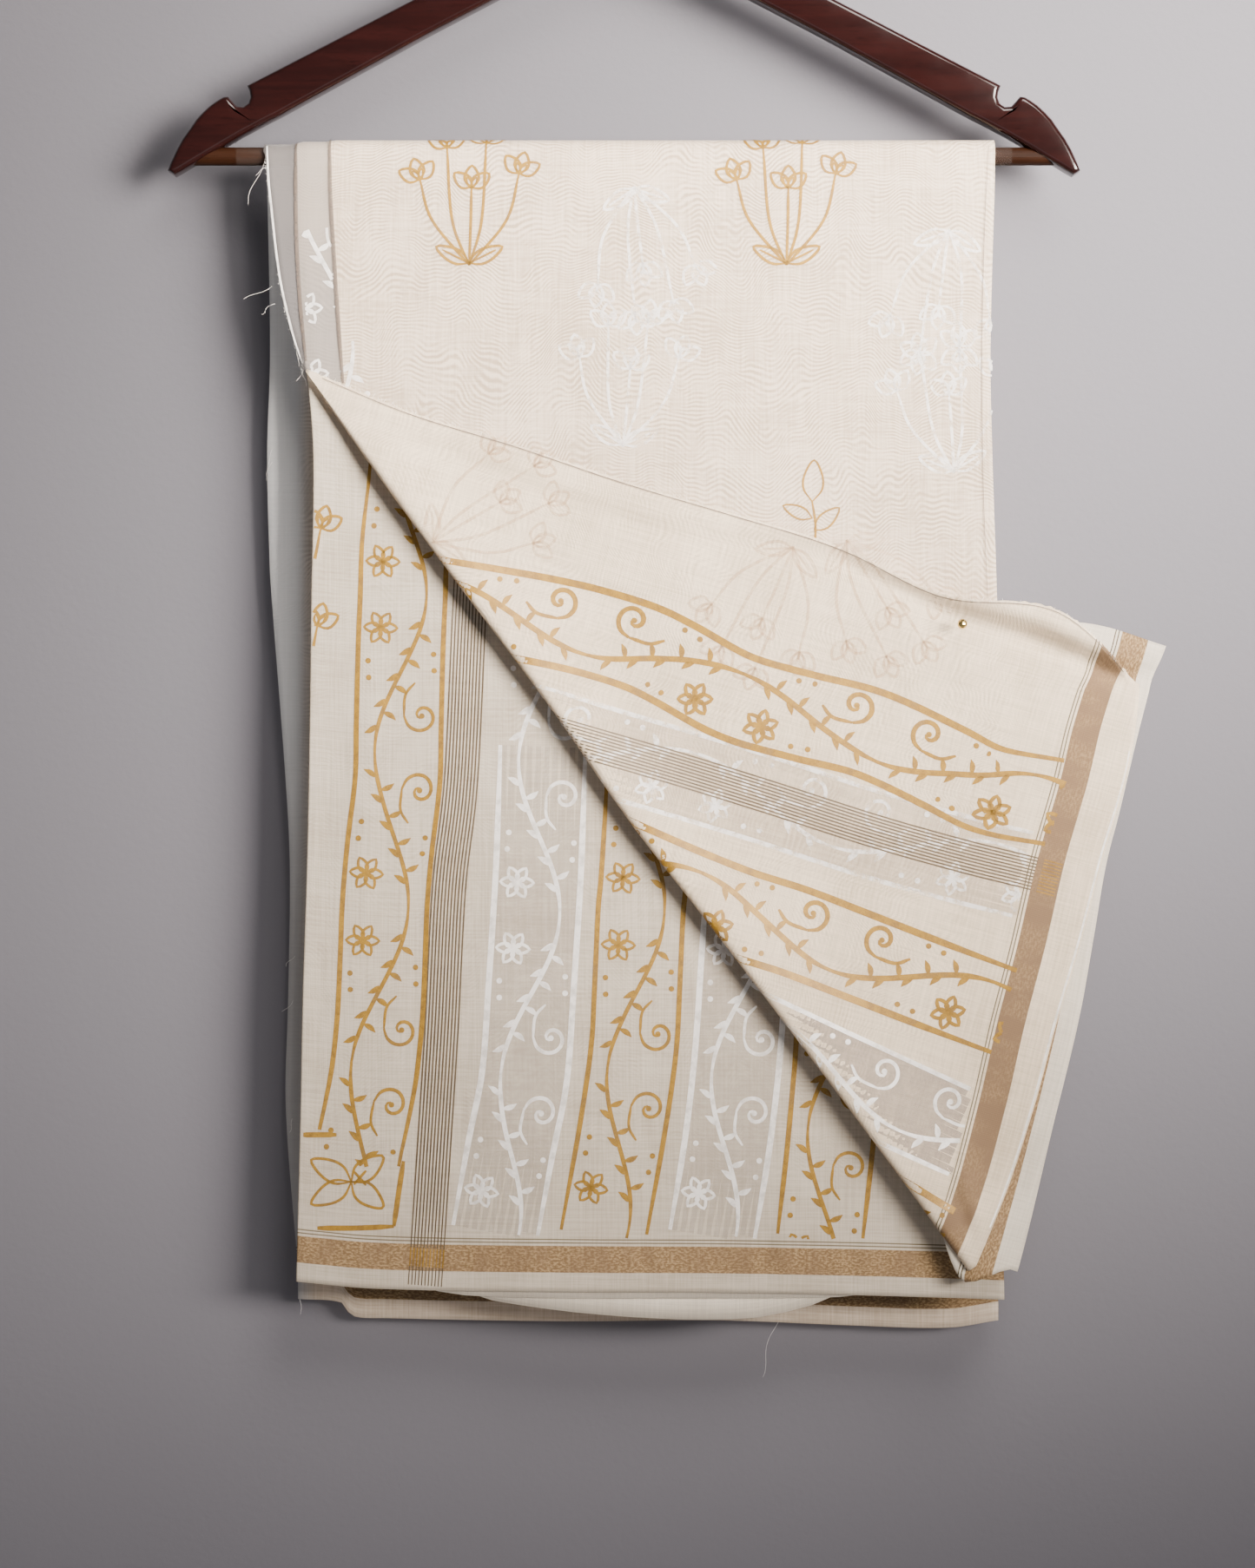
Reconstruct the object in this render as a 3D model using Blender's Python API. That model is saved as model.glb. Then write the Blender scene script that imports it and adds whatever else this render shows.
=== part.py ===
"""Sari folded into a long pack and hung in half over the bar of a wooden clothes hanger.

The origin is the inside top of the hanger's hook, where a rail carries it.
+X is to the right as seen from the front, -Y is towards the viewer and +Z is up.

Sizes are in millimetres and become metres where a mesh is made. Cloth places are given
as x across the front and drop below the middle of the bar, and a layer's depth is its
distance from the bar's plane, towards the front or towards the back.
"""

import math
from typing import NamedTuple

import bmesh
import bpy
from mathutils import Vector

MM = 0.001
GAP = 0.3

# Hanger
HOOK_TO_BAR = 216.0
WOOD_THICKNESS = 12.0
WOOD_ROUNDING = 2.4
BAR_RADIUS = 4.4
BAR_HALF_LENGTH = 212.0
SLEEVE_INNER_RADIUS = 4.7
SLEEVE_OUTER_RADIUS = 5.3
SLEEVE_HALF_LENGTH = 188.5
HOOK_WIRE_RADIUS = 1.8
HOOK_INNER_RADIUS = 20.0
HOOK_SOCKET_DEPTH = 14.0

# Cloth
SHEET = 1.0
LAYER_GAP = 0.5
PACK_INNER_RADIUS = SLEEVE_OUTER_RADIUS + GAP
PACK_OUTER_RADIUS = PACK_INNER_RADIUS + 1.0
OUTER_SHEET_RADIUS = PACK_OUTER_RADIUS + LAYER_GAP
PACK_LOOSENESS = 3.2
PACK_LOOSE_DROP = 150.0
LEG_SWING = 5.0
LEG_SWING_DROP = 45.0
PANEL_TOP = 17.0
FRONT_SHEET_FOOT = 498.0
BACK_SEAM_DROP = 14.0
CREASE_DROP = 406.0
CREASE_HEIGHT = 0.9
CREASE_REACH = 26.0
ROLL_FULLNESS = 2.4
ROLL_REACH = 16.0
ROLL_UNDER = 14.0
CURL_HEIGHT = 9.0
PIN_X = 161.7
PIN_DROP = 229.3
PIN_RADIUS = 2.4


class PackRow(NamedTuple):
    """Side edges of the layers at one drop."""

    drop: float
    back_left: float
    pack_left: float
    panel_left: float
    right: float


PACK_EDGES = (
    PackRow(0.0, -174.0, -168.0, -159.0, 180.0),
    PackRow(95.0, -171.0, -165.5, -154.0, 176.8),
    PackRow(145.0, -172.5, -165.0, -150.0, 177.5),
    PackRow(220.0, -168.0, -163.5, -150.8, 179.8),
    PackRow(305.0, -162.5, -159.5, -152.0, 181.0),
    PackRow(350.0, -161.0, -158.5, -153.0, 181.5),
    PackRow(420.0, -162.5, -159.5, -155.0, 182.3),
    PackRow(470.0, -163.8, -160.5, -156.0, 183.0),
    PackRow(550.0, -157.5, -158.5, -157.9, 184.3),
)


class HemRow(NamedTuple):
    """Drop of each layer's hem at one place across the cloth."""

    x: float
    panel: float
    pack: float
    back: float


HEMS = (
    HemRow(-160.0, 545.6, 551.0, 556.5),
    HemRow(-120.0, 549.2, 556.0, 564.5),
    HemRow(-33.0, 550.6, 557.0, 565.7),
    HemRow(45.0, 551.4, 557.5, 565.0),
    HemRow(115.0, 552.4, 559.5, 568.3),
    HemRow(160.0, 553.6, 560.5, 569.2),
    HemRow(184.0, 554.5, 559.5, 565.3),
)


class RawRow(NamedTuple):
    """The front sheet's raw edge above the diagonal fold."""

    drop: float
    x: float


RAW_LEFT_EDGE = (
    RawRow(0.0, -174.3),
    RawRow(31.5, -167.2),
    RawRow(73.5, -160.9),
    RawRow(105.0, -155.0),
)


class FlapRow(NamedTuple):
    """One section of the flap, from its raw edge down to its diagonal fold."""

    along: float
    raw_x: float
    raw_drop: float
    fold_x: float
    fold_drop: float
    curl: float


FLAP_SECTIONS = (
    FlapRow(0.000, -155.0, 105.0, -155.0, 105.0, 0.0),
    FlapRow(0.125, -105.0, 126.1, -116.1, 160.1, 0.0),
    FlapRow(0.250, -52.5, 142.3, -76.0, 214.5, 0.0),
    FlapRow(0.375, -0.5, 159.9, -35.5, 268.6, 0.05),
    FlapRow(0.500, 51.7, 175.6, 3.0, 324.0, 0.1),
    FlapRow(0.625, 103.6, 191.8, 44.3, 377.4, 0.35),
    FlapRow(0.750, 153.3, 215.1, 85.2, 431.1, 0.9),
    FlapRow(0.875, 207.3, 222.6, 125.7, 485.2, 1.0),
    FlapRow(1.000, 247.8, 258.3, 165.5, 539.7, 0.55),
)


class FlapSideRow(NamedTuple):
    """Right-hand edges of the flap's two layers at one drop."""

    drop: float
    flap: float
    under: float


FLAP_SIDES = (
    FlapSideRow(240.0, 247.8, 261.1),
    FlapSideRow(260.0, 247.8, 255.2),
    FlapSideRow(300.0, 241.9, 244.3),
    FlapSideRow(340.0, 230.1, 232.8),
    FlapSideRow(380.0, 219.6, 225.7),
    FlapSideRow(420.0, 207.8, 218.4),
    FlapSideRow(460.0, 197.2, 208.9),
    FlapSideRow(500.0, 184.1, 198.3),
    FlapSideRow(540.0, 166.0, 185.8),
)


class WoodRow(NamedTuple):
    """One section of the hanger's right half: its top and underside, above the bar."""

    top_x: float
    top_rise: float
    under_x: float
    under_rise: float


WOOD_SECTIONS = (
    WoodRow(0.0, 125.0, 0.0, 101.3),
    WoodRow(13.0, 121.0, 10.0, 100.6),
    WoodRow(30.0, 113.2, 22.0, 97.2),
    WoodRow(106.5, 73.5, 96.0, 58.5),
    WoodRow(183.2, 33.8, 166.0, 20.1),
    WoodRow(181.6, 29.0, 170.0, 18.0),
    WoodRow(184.2, 24.0, 174.5, 15.8),
    WoodRow(188.4, 23.4, 179.0, 13.4),
    WoodRow(192.4, 28.4, 183.5, 11.0),
    WoodRow(197.5, 26.6, 190.0, 7.3),
    WoodRow(204.5, 21.0, 198.0, 2.6),
    WoodRow(211.0, 12.8, 205.5, -1.9),
    WoodRow(217.5, 2.5, 212.0, -5.8),
    WoodRow(221.8, -7.4, 218.5, -9.6),
)


class RimRow(NamedTuple):
    """One row of points round a wall's rim: its share of the thickness and its reach."""

    share: float
    reach: float


ROUND_RIM = (RimRow(0.5, 0.22),)
LAYERED_RIM = (
    RimRow(0.08, 0.45),
    RimRow(0.26, 0.75),
    RimRow(0.34, 0.05),
    RimRow(0.50, 0.85),
    RimRow(0.66, 0.05),
    RimRow(0.74, 0.75),
    RimRow(0.92, 0.45),
)


def clear_scene() -> None:
    """Remove the objects that a new file starts with."""
    for old in list(bpy.data.objects):
        bpy.data.objects.remove(old, do_unlink=True)


def finish(name: str, colour: tuple, roughness: float, metallic: float = 0.0):
    """Make a plain material with a colour, a roughness and a metallic value."""
    material = bpy.data.materials.new(name)
    material.use_nodes = True
    shader = material.node_tree.nodes["Principled BSDF"]
    shader.inputs["Base Color"].default_value = (*colour, 1.0)
    shader.inputs["Roughness"].default_value = roughness
    shader.inputs["Metallic"].default_value = metallic
    return material


def add_object(name: str, mesh, material):
    """Put a mesh in the scene under a name, with its material and smooth shading."""
    shape = bpy.data.objects.new(name, mesh)
    bpy.context.scene.collection.objects.link(shape)
    mesh.materials.append(material)
    mesh.shade_smooth()
    mesh.set_sharp_from_angle(angle=math.radians(40.0))
    return shape


def mesh_from(name: str, shape: bmesh.types.BMesh):
    """Turn a bmesh into a mesh with its faces pointing out."""
    bmesh.ops.recalc_face_normals(shape, faces=shape.faces)
    mesh = bpy.data.meshes.new(name)
    shape.to_mesh(mesh)
    shape.free()
    return mesh


def read_table(rows: tuple, key: str, column: str, at: float) -> float:
    """Read one column of a table between its rows, along a smooth curve."""
    places = [getattr(row, key) for row in rows]
    values = [getattr(row, column) for row in rows]
    at = min(max(at, places[0]), places[-1])
    index = 0
    while index < len(places) - 2 and at > places[index + 1]:
        index += 1

    def slope(row: int) -> float:
        low = max(row - 1, 0)
        high = min(row + 1, len(places) - 1)
        return (values[high] - values[low]) / (places[high] - places[low])

    span = places[index + 1] - places[index]
    part = (at - places[index]) / span
    start = (2 * part**3 - 3 * part**2 + 1) * values[index]
    end = (3 * part**2 - 2 * part**3) * values[index + 1]
    leave = (part**3 - 2 * part**2 + part) * span * slope(index)
    arrive = (part**3 - part**2) * span * slope(index + 1)
    return start + end + leave + arrive


def ease(value: float) -> float:
    """Rise softly from 0 to 1 as the value goes from 0 to 1."""
    value = min(max(value, 0.0), 1.0)
    return value * value * (3.0 - 2.0 * value)


def leg_depth(drop: float) -> float:
    """Depth of the pack's outer face where nothing is folded or creased."""
    swing = LEG_SWING * (1.0 - math.exp(-max(drop, 0.0) / LEG_SWING_DROP))
    return PACK_OUTER_RADIUS + swing + PACK_LOOSENESS * ease(drop / PACK_LOOSE_DROP)


def front_relief(x: float, drop: float) -> float:
    """Height of the folds that all the front's layers share."""
    crease = CREASE_HEIGHT * math.exp(-(((drop - CREASE_DROP) / CREASE_REACH) ** 2))
    sway = math.sin(x / 41.0 + drop / 170.0) + 0.5 * math.sin(x / 23.0 - drop / 120.0 + 1.0)
    return crease + 1.1 * ease(drop / 300.0) * (sway + 1.0)


def back_relief(x: float, drop: float) -> float:
    """Height of the folds that the back's layers share."""
    crease = CREASE_HEIGHT * math.exp(-(((drop - CREASE_DROP + 12.0) / CREASE_REACH) ** 2))
    sway = math.sin(x / 47.0 - drop / 150.0 + 2.0) + 0.4 * math.sin(x / 27.0 + drop / 110.0)
    return crease + 1.1 * ease(drop / 300.0) * (sway + 1.0)


def front_depth(layer: int, x: float, drop: float) -> float:
    """Depth of a front layer's inner face: 1 panel, 2 front sheet, 3 under layer, 4 flap."""
    depth = leg_depth(drop) + front_relief(x, drop)
    if layer == 0:
        return depth
    if layer == 1:
        return depth + LAYER_GAP
    over_panel = (SHEET + LAYER_GAP) * ease((drop - 1.0) / (PANEL_TOP - 2.0))
    return depth + LAYER_GAP + over_panel + (layer - 2) * (SHEET + LAYER_GAP)


def back_depth(layer: int, x: float, drop: float) -> float:
    """Depth of a back layer's inner face: 0 is the pack's outer face, 1 the back sheet."""
    return leg_depth(drop) + back_relief(x, drop) + layer * LAYER_GAP


def place(x: float, drop: float, depth: float, side: int = -1) -> Vector:
    """Turn x, drop and depth into a point; side is -1 in front and 1 behind."""
    return Vector((x, side * depth, -HOOK_TO_BAR - drop))


def over_bar(x: float, angle: float, radius: float) -> Vector:
    """Give a point of a layer that bends over the bar; 0 is behind and pi in front."""
    height = radius * math.sin(angle) - HOOK_TO_BAR
    return Vector((x, radius * math.cos(angle), height))


def spread(start: float, end: float, steps: int) -> list:
    """Give evenly spaced values from start to end."""
    return [start + (end - start) * step / steps for step in range(steps + 1)]


def spread_down(steps: int) -> list:
    """Give shares from 0 to 1 that are closer together near the bar, where cloth bends."""
    return [(step / steps) ** 1.35 for step in range(steps + 1)]


def wall(name: str, outer: list, inner: list, rim: tuple, material):
    """Close two grids of points into one wall, with rows of points round its rim."""
    shape = bmesh.new()
    rows = len(outer)
    columns = len(outer[0])
    faces_out = [[shape.verts.new(point * MM) for point in row] for row in outer]
    faces_in = [[shape.verts.new(point * MM) for point in row] for row in inner]
    for row in range(rows - 1):
        for column in range(columns - 1):
            for grid in (faces_out, faces_in):
                shape.faces.new((grid[row][column], grid[row][column + 1],
                                 grid[row + 1][column + 1], grid[row + 1][column]))
    loop = [(0, column) for column in range(columns - 1)]
    loop += [(row, columns - 1) for row in range(rows - 1)]
    loop += [(rows - 1, column) for column in range(columns - 1, 0, -1)]
    loop += [(row, 0) for row in range(rows - 1, 0, -1)]
    rings = [[faces_out[row][column] for row, column in loop]]
    for step in rim:
        ring = []
        for row, column in loop:
            inside_row = min(max(row, 1), rows - 2)
            inside_column = min(max(column, 1), columns - 2)
            edge = outer[row][column].lerp(inner[row][column], step.share)
            inside = outer[inside_row][inside_column].lerp(
                inner[inside_row][inside_column], step.share)
            outward = (edge - inside).normalized()
            ring.append(shape.verts.new((edge + outward * step.reach) * MM))
        rings.append(ring)
    rings.append([faces_in[row][column] for row, column in loop])
    for first, second in zip(rings, rings[1:]):
        for index in range(len(loop)):
            after = (index + 1) % len(loop)
            shape.faces.new((first[index], first[after], second[after], second[index]))
    return add_object(name, mesh_from(name, shape), material)


def build_folded_layers(material) -> None:
    """Build the hidden layers as one rounded solid over the bar, layered at its edges."""
    outer = []
    inner = []
    columns = spread(0.0, 1.0, 13)
    for side, shares in ((1, spread_down(17)[::-1]), (-1, spread_down(17))):
        for share in shares:
            row_out = []
            row_in = []
            for across in columns:
                nominal = share * HEMS[3].pack
                left = read_table(PACK_EDGES, "drop", "pack_left", nominal)
                right = read_table(PACK_EDGES, "drop", "right", nominal) - 2.0
                x = left + across * (right - left)
                drop = share * read_table(HEMS, "x", "pack", x)
                relief = back_relief(x, drop) if side > 0 else front_relief(x, drop)
                swing = LEG_SWING * (1.0 - math.exp(-drop / LEG_SWING_DROP))
                depth = back_depth(0, x, drop) if side > 0 else front_depth(0, x, drop)
                row_out.append(place(x, drop, depth, side))
                row_in.append(place(x, drop, PACK_INNER_RADIUS + swing + 0.6 * relief, side))
            outer.append(row_out)
            inner.append(row_in)
        if side > 0:
            left = PACK_EDGES[0].pack_left
            right = PACK_EDGES[0].right - 2.0
            for angle in spread(0.0, math.pi, 8)[1:-1]:
                xs = [left + across * (right - left) for across in columns]
                outer.append([over_bar(x, angle, PACK_OUTER_RADIUS) for x in xs])
                inner.append([over_bar(x, angle, PACK_INNER_RADIUS) for x in xs])
    wall("folded_layers", outer, inner, LAYERED_RIM, material)


def front_left_edge(drop: float) -> float:
    """Left edge of the front sheet: its raw edge, then where the flap's roll begins."""
    raw_end = RAW_LEFT_EDGE[-1].drop
    if drop <= raw_end - 4.0:
        return read_table(RAW_LEFT_EDGE, "drop", "x", drop)
    return fold_x_at(drop) + (ROLL_UNDER + 4.0 * GAP) / 0.8


def fold_x_at(drop: float) -> float:
    """Place across the front of the diagonal fold at one drop."""
    low = 0.0
    high = 1.0
    for _ in range(30):
        middle = (low + high) / 2.0
        if read_table(FLAP_SECTIONS, "along", "fold_drop", middle) < drop:
            low = middle
        else:
            high = middle
    return read_table(FLAP_SECTIONS, "along", "fold_x", low)


def build_front_sheet(material) -> None:
    """Build the top layer, from just behind the bar down to the diagonal fold."""
    outer = []
    inner = []
    columns = spread(0.0, 1.0, 14)
    left = RAW_LEFT_EDGE[0].x
    right = PACK_EDGES[0].right
    start = [left + across * (right - left) for across in columns]
    for drop in (BACK_SEAM_DROP, BACK_SEAM_DROP / 2.0):
        outer.append([place(x, drop, back_depth(1, x, drop) + SHEET, 1) for x in start])
        inner.append([place(x, drop, back_depth(1, x, drop), 1) for x in start])
    for angle in spread(0.0, math.pi, 8)[:-1]:
        outer.append([over_bar(x, angle, OUTER_SHEET_RADIUS + SHEET) for x in start])
        inner.append([over_bar(x, angle, OUTER_SHEET_RADIUS) for x in start])
    drops = spread(0.0, 20.0, 4) + spread(31.5, 100.0, 4) + spread(108.0, FRONT_SHEET_FOOT, 18)
    for drop in drops:
        left = front_left_edge(drop)
        right = read_table(PACK_EDGES, "drop", "right", drop)
        xs = [left + across * (right - left) for across in columns]
        outer.append([place(x, drop, front_depth(2, x, drop) + SHEET) for x in xs])
        inner.append([place(x, drop, front_depth(2, x, drop)) for x in xs])
    wall("front_sheet", outer, inner, ROUND_RIM, material)


def build_back_sheet(material) -> None:
    """Build the outermost layer behind, from the seam below the bar to its hem."""
    outer = []
    inner = []
    first = BACK_SEAM_DROP + 3.0 * GAP
    for share in spread_down(22):
        row_out = []
        row_in = []
        for across in spread(0.0, 1.0, 14):
            nominal = first + share * (HEMS[3].back - first)
            left = read_table(PACK_EDGES, "drop", "back_left", nominal)
            right = read_table(PACK_EDGES, "drop", "right", nominal)
            x = left + across * (right - left)
            drop = first + share * (read_table(HEMS, "x", "back", x) - first)
            row_out.append(place(x, drop, back_depth(1, x, drop) + SHEET, 1))
            row_in.append(place(x, drop, back_depth(1, x, drop), 1))
        outer.append(row_out)
        inner.append(row_in)
    wall("back_sheet", outer, inner, ROUND_RIM, material)


def build_pallu_panel(material) -> None:
    """Build the printed panel under the flap, down to its border hem."""
    outer = []
    inner = []
    for share in spread_down(24):
        row_out = []
        row_in = []
        for across in spread(0.0, 1.0, 14):
            nominal = PANEL_TOP + share * (HEMS[3].panel - PANEL_TOP)
            left = read_table(PACK_EDGES, "drop", "panel_left", nominal)
            right = read_table(PACK_EDGES, "drop", "right", nominal) - 1.0
            x = left + across * (right - left)
            drop = PANEL_TOP + share * (read_table(HEMS, "x", "panel", x) - PANEL_TOP)
            row_out.append(place(x, drop, front_depth(1, x, drop) + SHEET))
            row_in.append(place(x, drop, front_depth(1, x, drop)))
        outer.append(row_out)
        inner.append(row_in)
    wall("pallu_panel", outer, inner, ROUND_RIM, material)


def flap_place(along: float, down: float) -> tuple:
    """Give x, drop and the distance to the diagonal fold at one place of the flap.

    along runs from the pointed end to the right-hand edge, and down runs from the raw
    edge to the diagonal fold.
    """
    raw_x = read_table(FLAP_SECTIONS, "along", "raw_x", along)
    raw_drop = read_table(FLAP_SECTIONS, "along", "raw_drop", along)
    fold_x = read_table(FLAP_SECTIONS, "along", "fold_x", along)
    fold_drop = read_table(FLAP_SECTIONS, "along", "fold_drop", along)
    x = raw_x + down * (fold_x - raw_x)
    drop = raw_drop + down * (fold_drop - raw_drop)
    last = FLAP_SECTIONS[-1]
    last_drop = last.raw_drop + down * (last.fold_drop - last.raw_drop)
    straight = last.raw_x + down * (last.fold_x - last.raw_x)
    bow = read_table(FLAP_SIDES, "drop", "flap", last_drop) - straight
    x += bow * ease(along) ** 3
    width = math.hypot(fold_x - raw_x, fold_drop - raw_drop)
    return x, drop, (1.0 - down) * width


def flap_depth(x: float, drop: float, to_fold: float, along: float, down: float) -> float:
    """Depth of the middle of the flap's wall."""
    full = ROLL_FULLNESS * math.exp(-((to_fold / ROLL_REACH) ** 2))
    belly = 1.6 * math.sin(math.pi * min(max(down, 0.0), 1.0)) * along
    curl = read_table(FLAP_SECTIONS, "along", "curl", along)
    lift = CURL_HEIGHT * curl * (1.0 - ease(down / 0.22)) if down < 0.22 else 0.0
    return front_depth(4, x, drop) + SHEET / 2.0 + full + belly + lift


def build_turned_flap(material) -> None:
    """Build the turned-up corner, rolled over its diagonal fold."""
    outer = []
    inner = []
    first = FLAP_SECTIONS[0]
    last = FLAP_SECTIONS[-1]
    run = Vector((last.fold_x - first.fold_x, last.fold_drop - first.fold_drop)).normalized()
    inward = Vector((run.y, -run.x))
    for along in spread(0.05, 1.0, 24):
        row_out = []
        row_in = []
        fold_x, fold_drop, _ = flap_place(along, 1.0)
        raw_x, raw_drop, width = flap_place(along, 0.0)
        behind = front_depth(2, fold_x, fold_drop) + SHEET / 2.0
        crown = flap_depth(fold_x, fold_drop, 0.0, along, 1.0)
        radius = (crown - behind) / 2.0
        for down in spread(0.0, 1.0, 11):
            share = down * (1.0 - 2.2 * radius / width)
            x, drop, to_fold = flap_place(along, share)
            depth = flap_depth(x, drop, to_fold, along, share)
            row_out.append(place(x, drop, depth + SHEET / 2.0))
            row_in.append(place(x, drop, depth - SHEET / 2.0))
        for angle in spread(0.0, math.pi, 6):
            for grid, reach in ((row_out, SHEET / 2.0), (row_in, -SHEET / 2.0)):
                out = (radius + reach) * math.sin(angle)
                away = inward * (radius - out)
                depth = (crown + behind) / 2.0 + (radius + reach) * math.cos(angle)
                grid.append(place(fold_x + away.x, fold_drop + away.y, depth))
        tuck = min(ROLL_UNDER, 0.6 * width)
        for reach in (0.55 * tuck, tuck):
            away = inward * reach
            x = fold_x + away.x
            drop = fold_drop + away.y
            depth = front_depth(2, x, drop)
            row_out.append(place(x, drop, depth))
            row_in.append(place(x, drop, depth + SHEET))
        outer.append(row_out)
        inner.append(row_in)
    wall("turned_flap", outer, inner, ROUND_RIM, material)


def build_flap_under_layer(material) -> None:
    """Build the layer under the flap, which shows along the flap's right-hand edge."""
    outer = []
    inner = []
    for along in spread(0.45, 1.0, 12):
        row_out = []
        row_in = []
        for down in spread(0.02, 0.95, 12):
            x, drop, _ = flap_place(along, down)
            past = read_table(FLAP_SIDES, "drop", "under", drop)
            past -= read_table(FLAP_SIDES, "drop", "flap", drop)
            near_end = ease((along - 0.8) / 0.2)
            x += past * near_end
            drop -= 12.0 * near_end * (1.0 - ease(down / 0.2))
            row_out.append(place(x, drop, front_depth(3, x, drop) + SHEET))
            row_in.append(place(x, drop, front_depth(3, x, drop)))
        outer.append(row_out)
        inner.append(row_in)
    wall("flap_under_layer", outer, inner, ROUND_RIM, material)


def cutter(name: str, radius: float, length: float, centre: Vector, axis: str):
    """Make a hidden cylinder that a Boolean modifier cuts with."""
    shape = bmesh.new()
    bmesh.ops.create_cone(shape, cap_ends=True, segments=24, radius1=radius * MM,
                          radius2=radius * MM, depth=length * MM)
    mesh = mesh_from(name, shape)
    tool = bpy.data.objects.new(name, mesh)
    bpy.context.scene.collection.objects.link(tool)
    tool.location = centre * MM
    if axis == "x":
        tool.rotation_euler = (0.0, math.radians(90.0), 0.0)
    tool.hide_render = True
    tool.display_type = "WIRE"
    return tool


def build_hanger_body(material) -> None:
    """Build the flat wooden body with its two strap notches and its sockets."""
    shape = bmesh.new()
    half = WOOD_THICKNESS / 2.0
    for side in (-1, 1):
        for first, second in zip(WOOD_SECTIONS, WOOD_SECTIONS[1:]):
            corners = ((first.top_x, first.top_rise), (second.top_x, second.top_rise),
                       (second.under_x, second.under_rise), (first.under_x, first.under_rise))
            shape.faces.new([shape.verts.new(Vector((side * x, -half, rise - HOOK_TO_BAR)) * MM)
                             for x, rise in corners])
    bmesh.ops.remove_doubles(shape, verts=shape.verts, dist=0.01 * MM)
    bmesh.ops.recalc_face_normals(shape, faces=shape.faces)
    raised = bmesh.ops.extrude_face_region(shape, geom=shape.faces[:])
    back_points = [item for item in raised["geom"] if isinstance(item, bmesh.types.BMVert)]
    bmesh.ops.translate(shape, verts=back_points, vec=(0.0, WOOD_THICKNESS * MM, 0.0))
    rims = [edge for edge in shape.edges if edge.calc_face_angle(0.0) > 1.0
            and abs(edge.verts[0].co.y - edge.verts[1].co.y) < 0.01 * MM]
    bmesh.ops.bevel(shape, geom=rims, offset=WOOD_ROUNDING * MM, segments=3,
                    profile=0.5, affect="EDGES", material=-1)
    body = add_object("hanger_body", mesh_from("hanger_body", shape), material)
    socket_length = 70.0
    middle = BAR_HALF_LENGTH + GAP - socket_length / 2.0
    tools = [
        cutter("bar_socket_left", BAR_RADIUS + GAP, socket_length,
               Vector((-middle, 0.0, -HOOK_TO_BAR)), "x"),
        cutter("bar_socket_right", BAR_RADIUS + GAP, socket_length,
               Vector((middle, 0.0, -HOOK_TO_BAR)), "x"),
        cutter("hook_socket", HOOK_WIRE_RADIUS + GAP, 2.0 * HOOK_SOCKET_DEPTH,
               Vector((0.0, 0.0, WOOD_SECTIONS[0].top_rise - HOOK_TO_BAR)), "z"),
    ]
    for tool in tools:
        cut = body.modifiers.new(tool.name, "BOOLEAN")
        cut.operation = "DIFFERENCE"
        cut.object = tool


def build_trouser_bar(material) -> None:
    """Build the round wooden bar between the two arms."""
    shape = bmesh.new()
    bmesh.ops.create_cone(shape, cap_ends=True, segments=24, radius1=BAR_RADIUS * MM,
                          radius2=BAR_RADIUS * MM, depth=2.0 * BAR_HALF_LENGTH * MM)
    bar = add_object("trouser_bar", mesh_from("trouser_bar", shape), material)
    bar.rotation_euler = (0.0, math.radians(90.0), 0.0)
    bar.location = (0.0, 0.0, -HOOK_TO_BAR * MM)


def build_bar_sleeve(material) -> None:
    """Build the clear plastic sleeve that stops the cloth from sliding on the bar."""
    shape = bmesh.new()
    ends = (-SLEEVE_HALF_LENGTH, SLEEVE_HALF_LENGTH)
    corners = [(ends[0], SLEEVE_INNER_RADIUS), (ends[1], SLEEVE_INNER_RADIUS),
               (ends[1], SLEEVE_OUTER_RADIUS), (ends[0], SLEEVE_OUTER_RADIUS)]
    points = [shape.verts.new(Vector((x, 0.0, radius)) * MM) for x, radius in corners]
    sides = [shape.edges.new((points[index], points[(index + 1) % 4])) for index in range(4)]
    bmesh.ops.spin(shape, geom=points + sides, cent=(0.0, 0.0, 0.0), axis=(1.0, 0.0, 0.0),
                   angle=math.tau, steps=24, use_merge=True)
    sleeve = add_object("bar_sleeve", mesh_from("bar_sleeve", shape), material)
    sleeve.location = (0.0, 0.0, -HOOK_TO_BAR * MM)


def hook_route() -> list:
    """Give the middle line of the hook's wire, from its socket to its free end."""
    middle_radius = HOOK_INNER_RADIUS + HOOK_WIRE_RADIUS
    foot = WOOD_SECTIONS[0].top_rise - HOOK_TO_BAR - HOOK_SOCKET_DEPTH + GAP
    join = math.radians(-52.0)
    join_x = middle_radius * math.cos(join)
    join_z = middle_radius * math.sin(join) - HOOK_INNER_RADIUS
    bend_start = -64.0
    route = [(0.0, z) for z in spread(foot, bend_start, 4)]
    for step in spread(0.0, 1.0, 8)[1:]:
        across = join_x * ease(step) ** 1.1
        route.append((across, bend_start + (join_z - bend_start) * step))
    for angle in spread(join, math.radians(196.0), 22)[1:]:
        route.append((middle_radius * math.cos(angle),
                      middle_radius * math.sin(angle) - HOOK_INNER_RADIUS))
    return route


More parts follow.
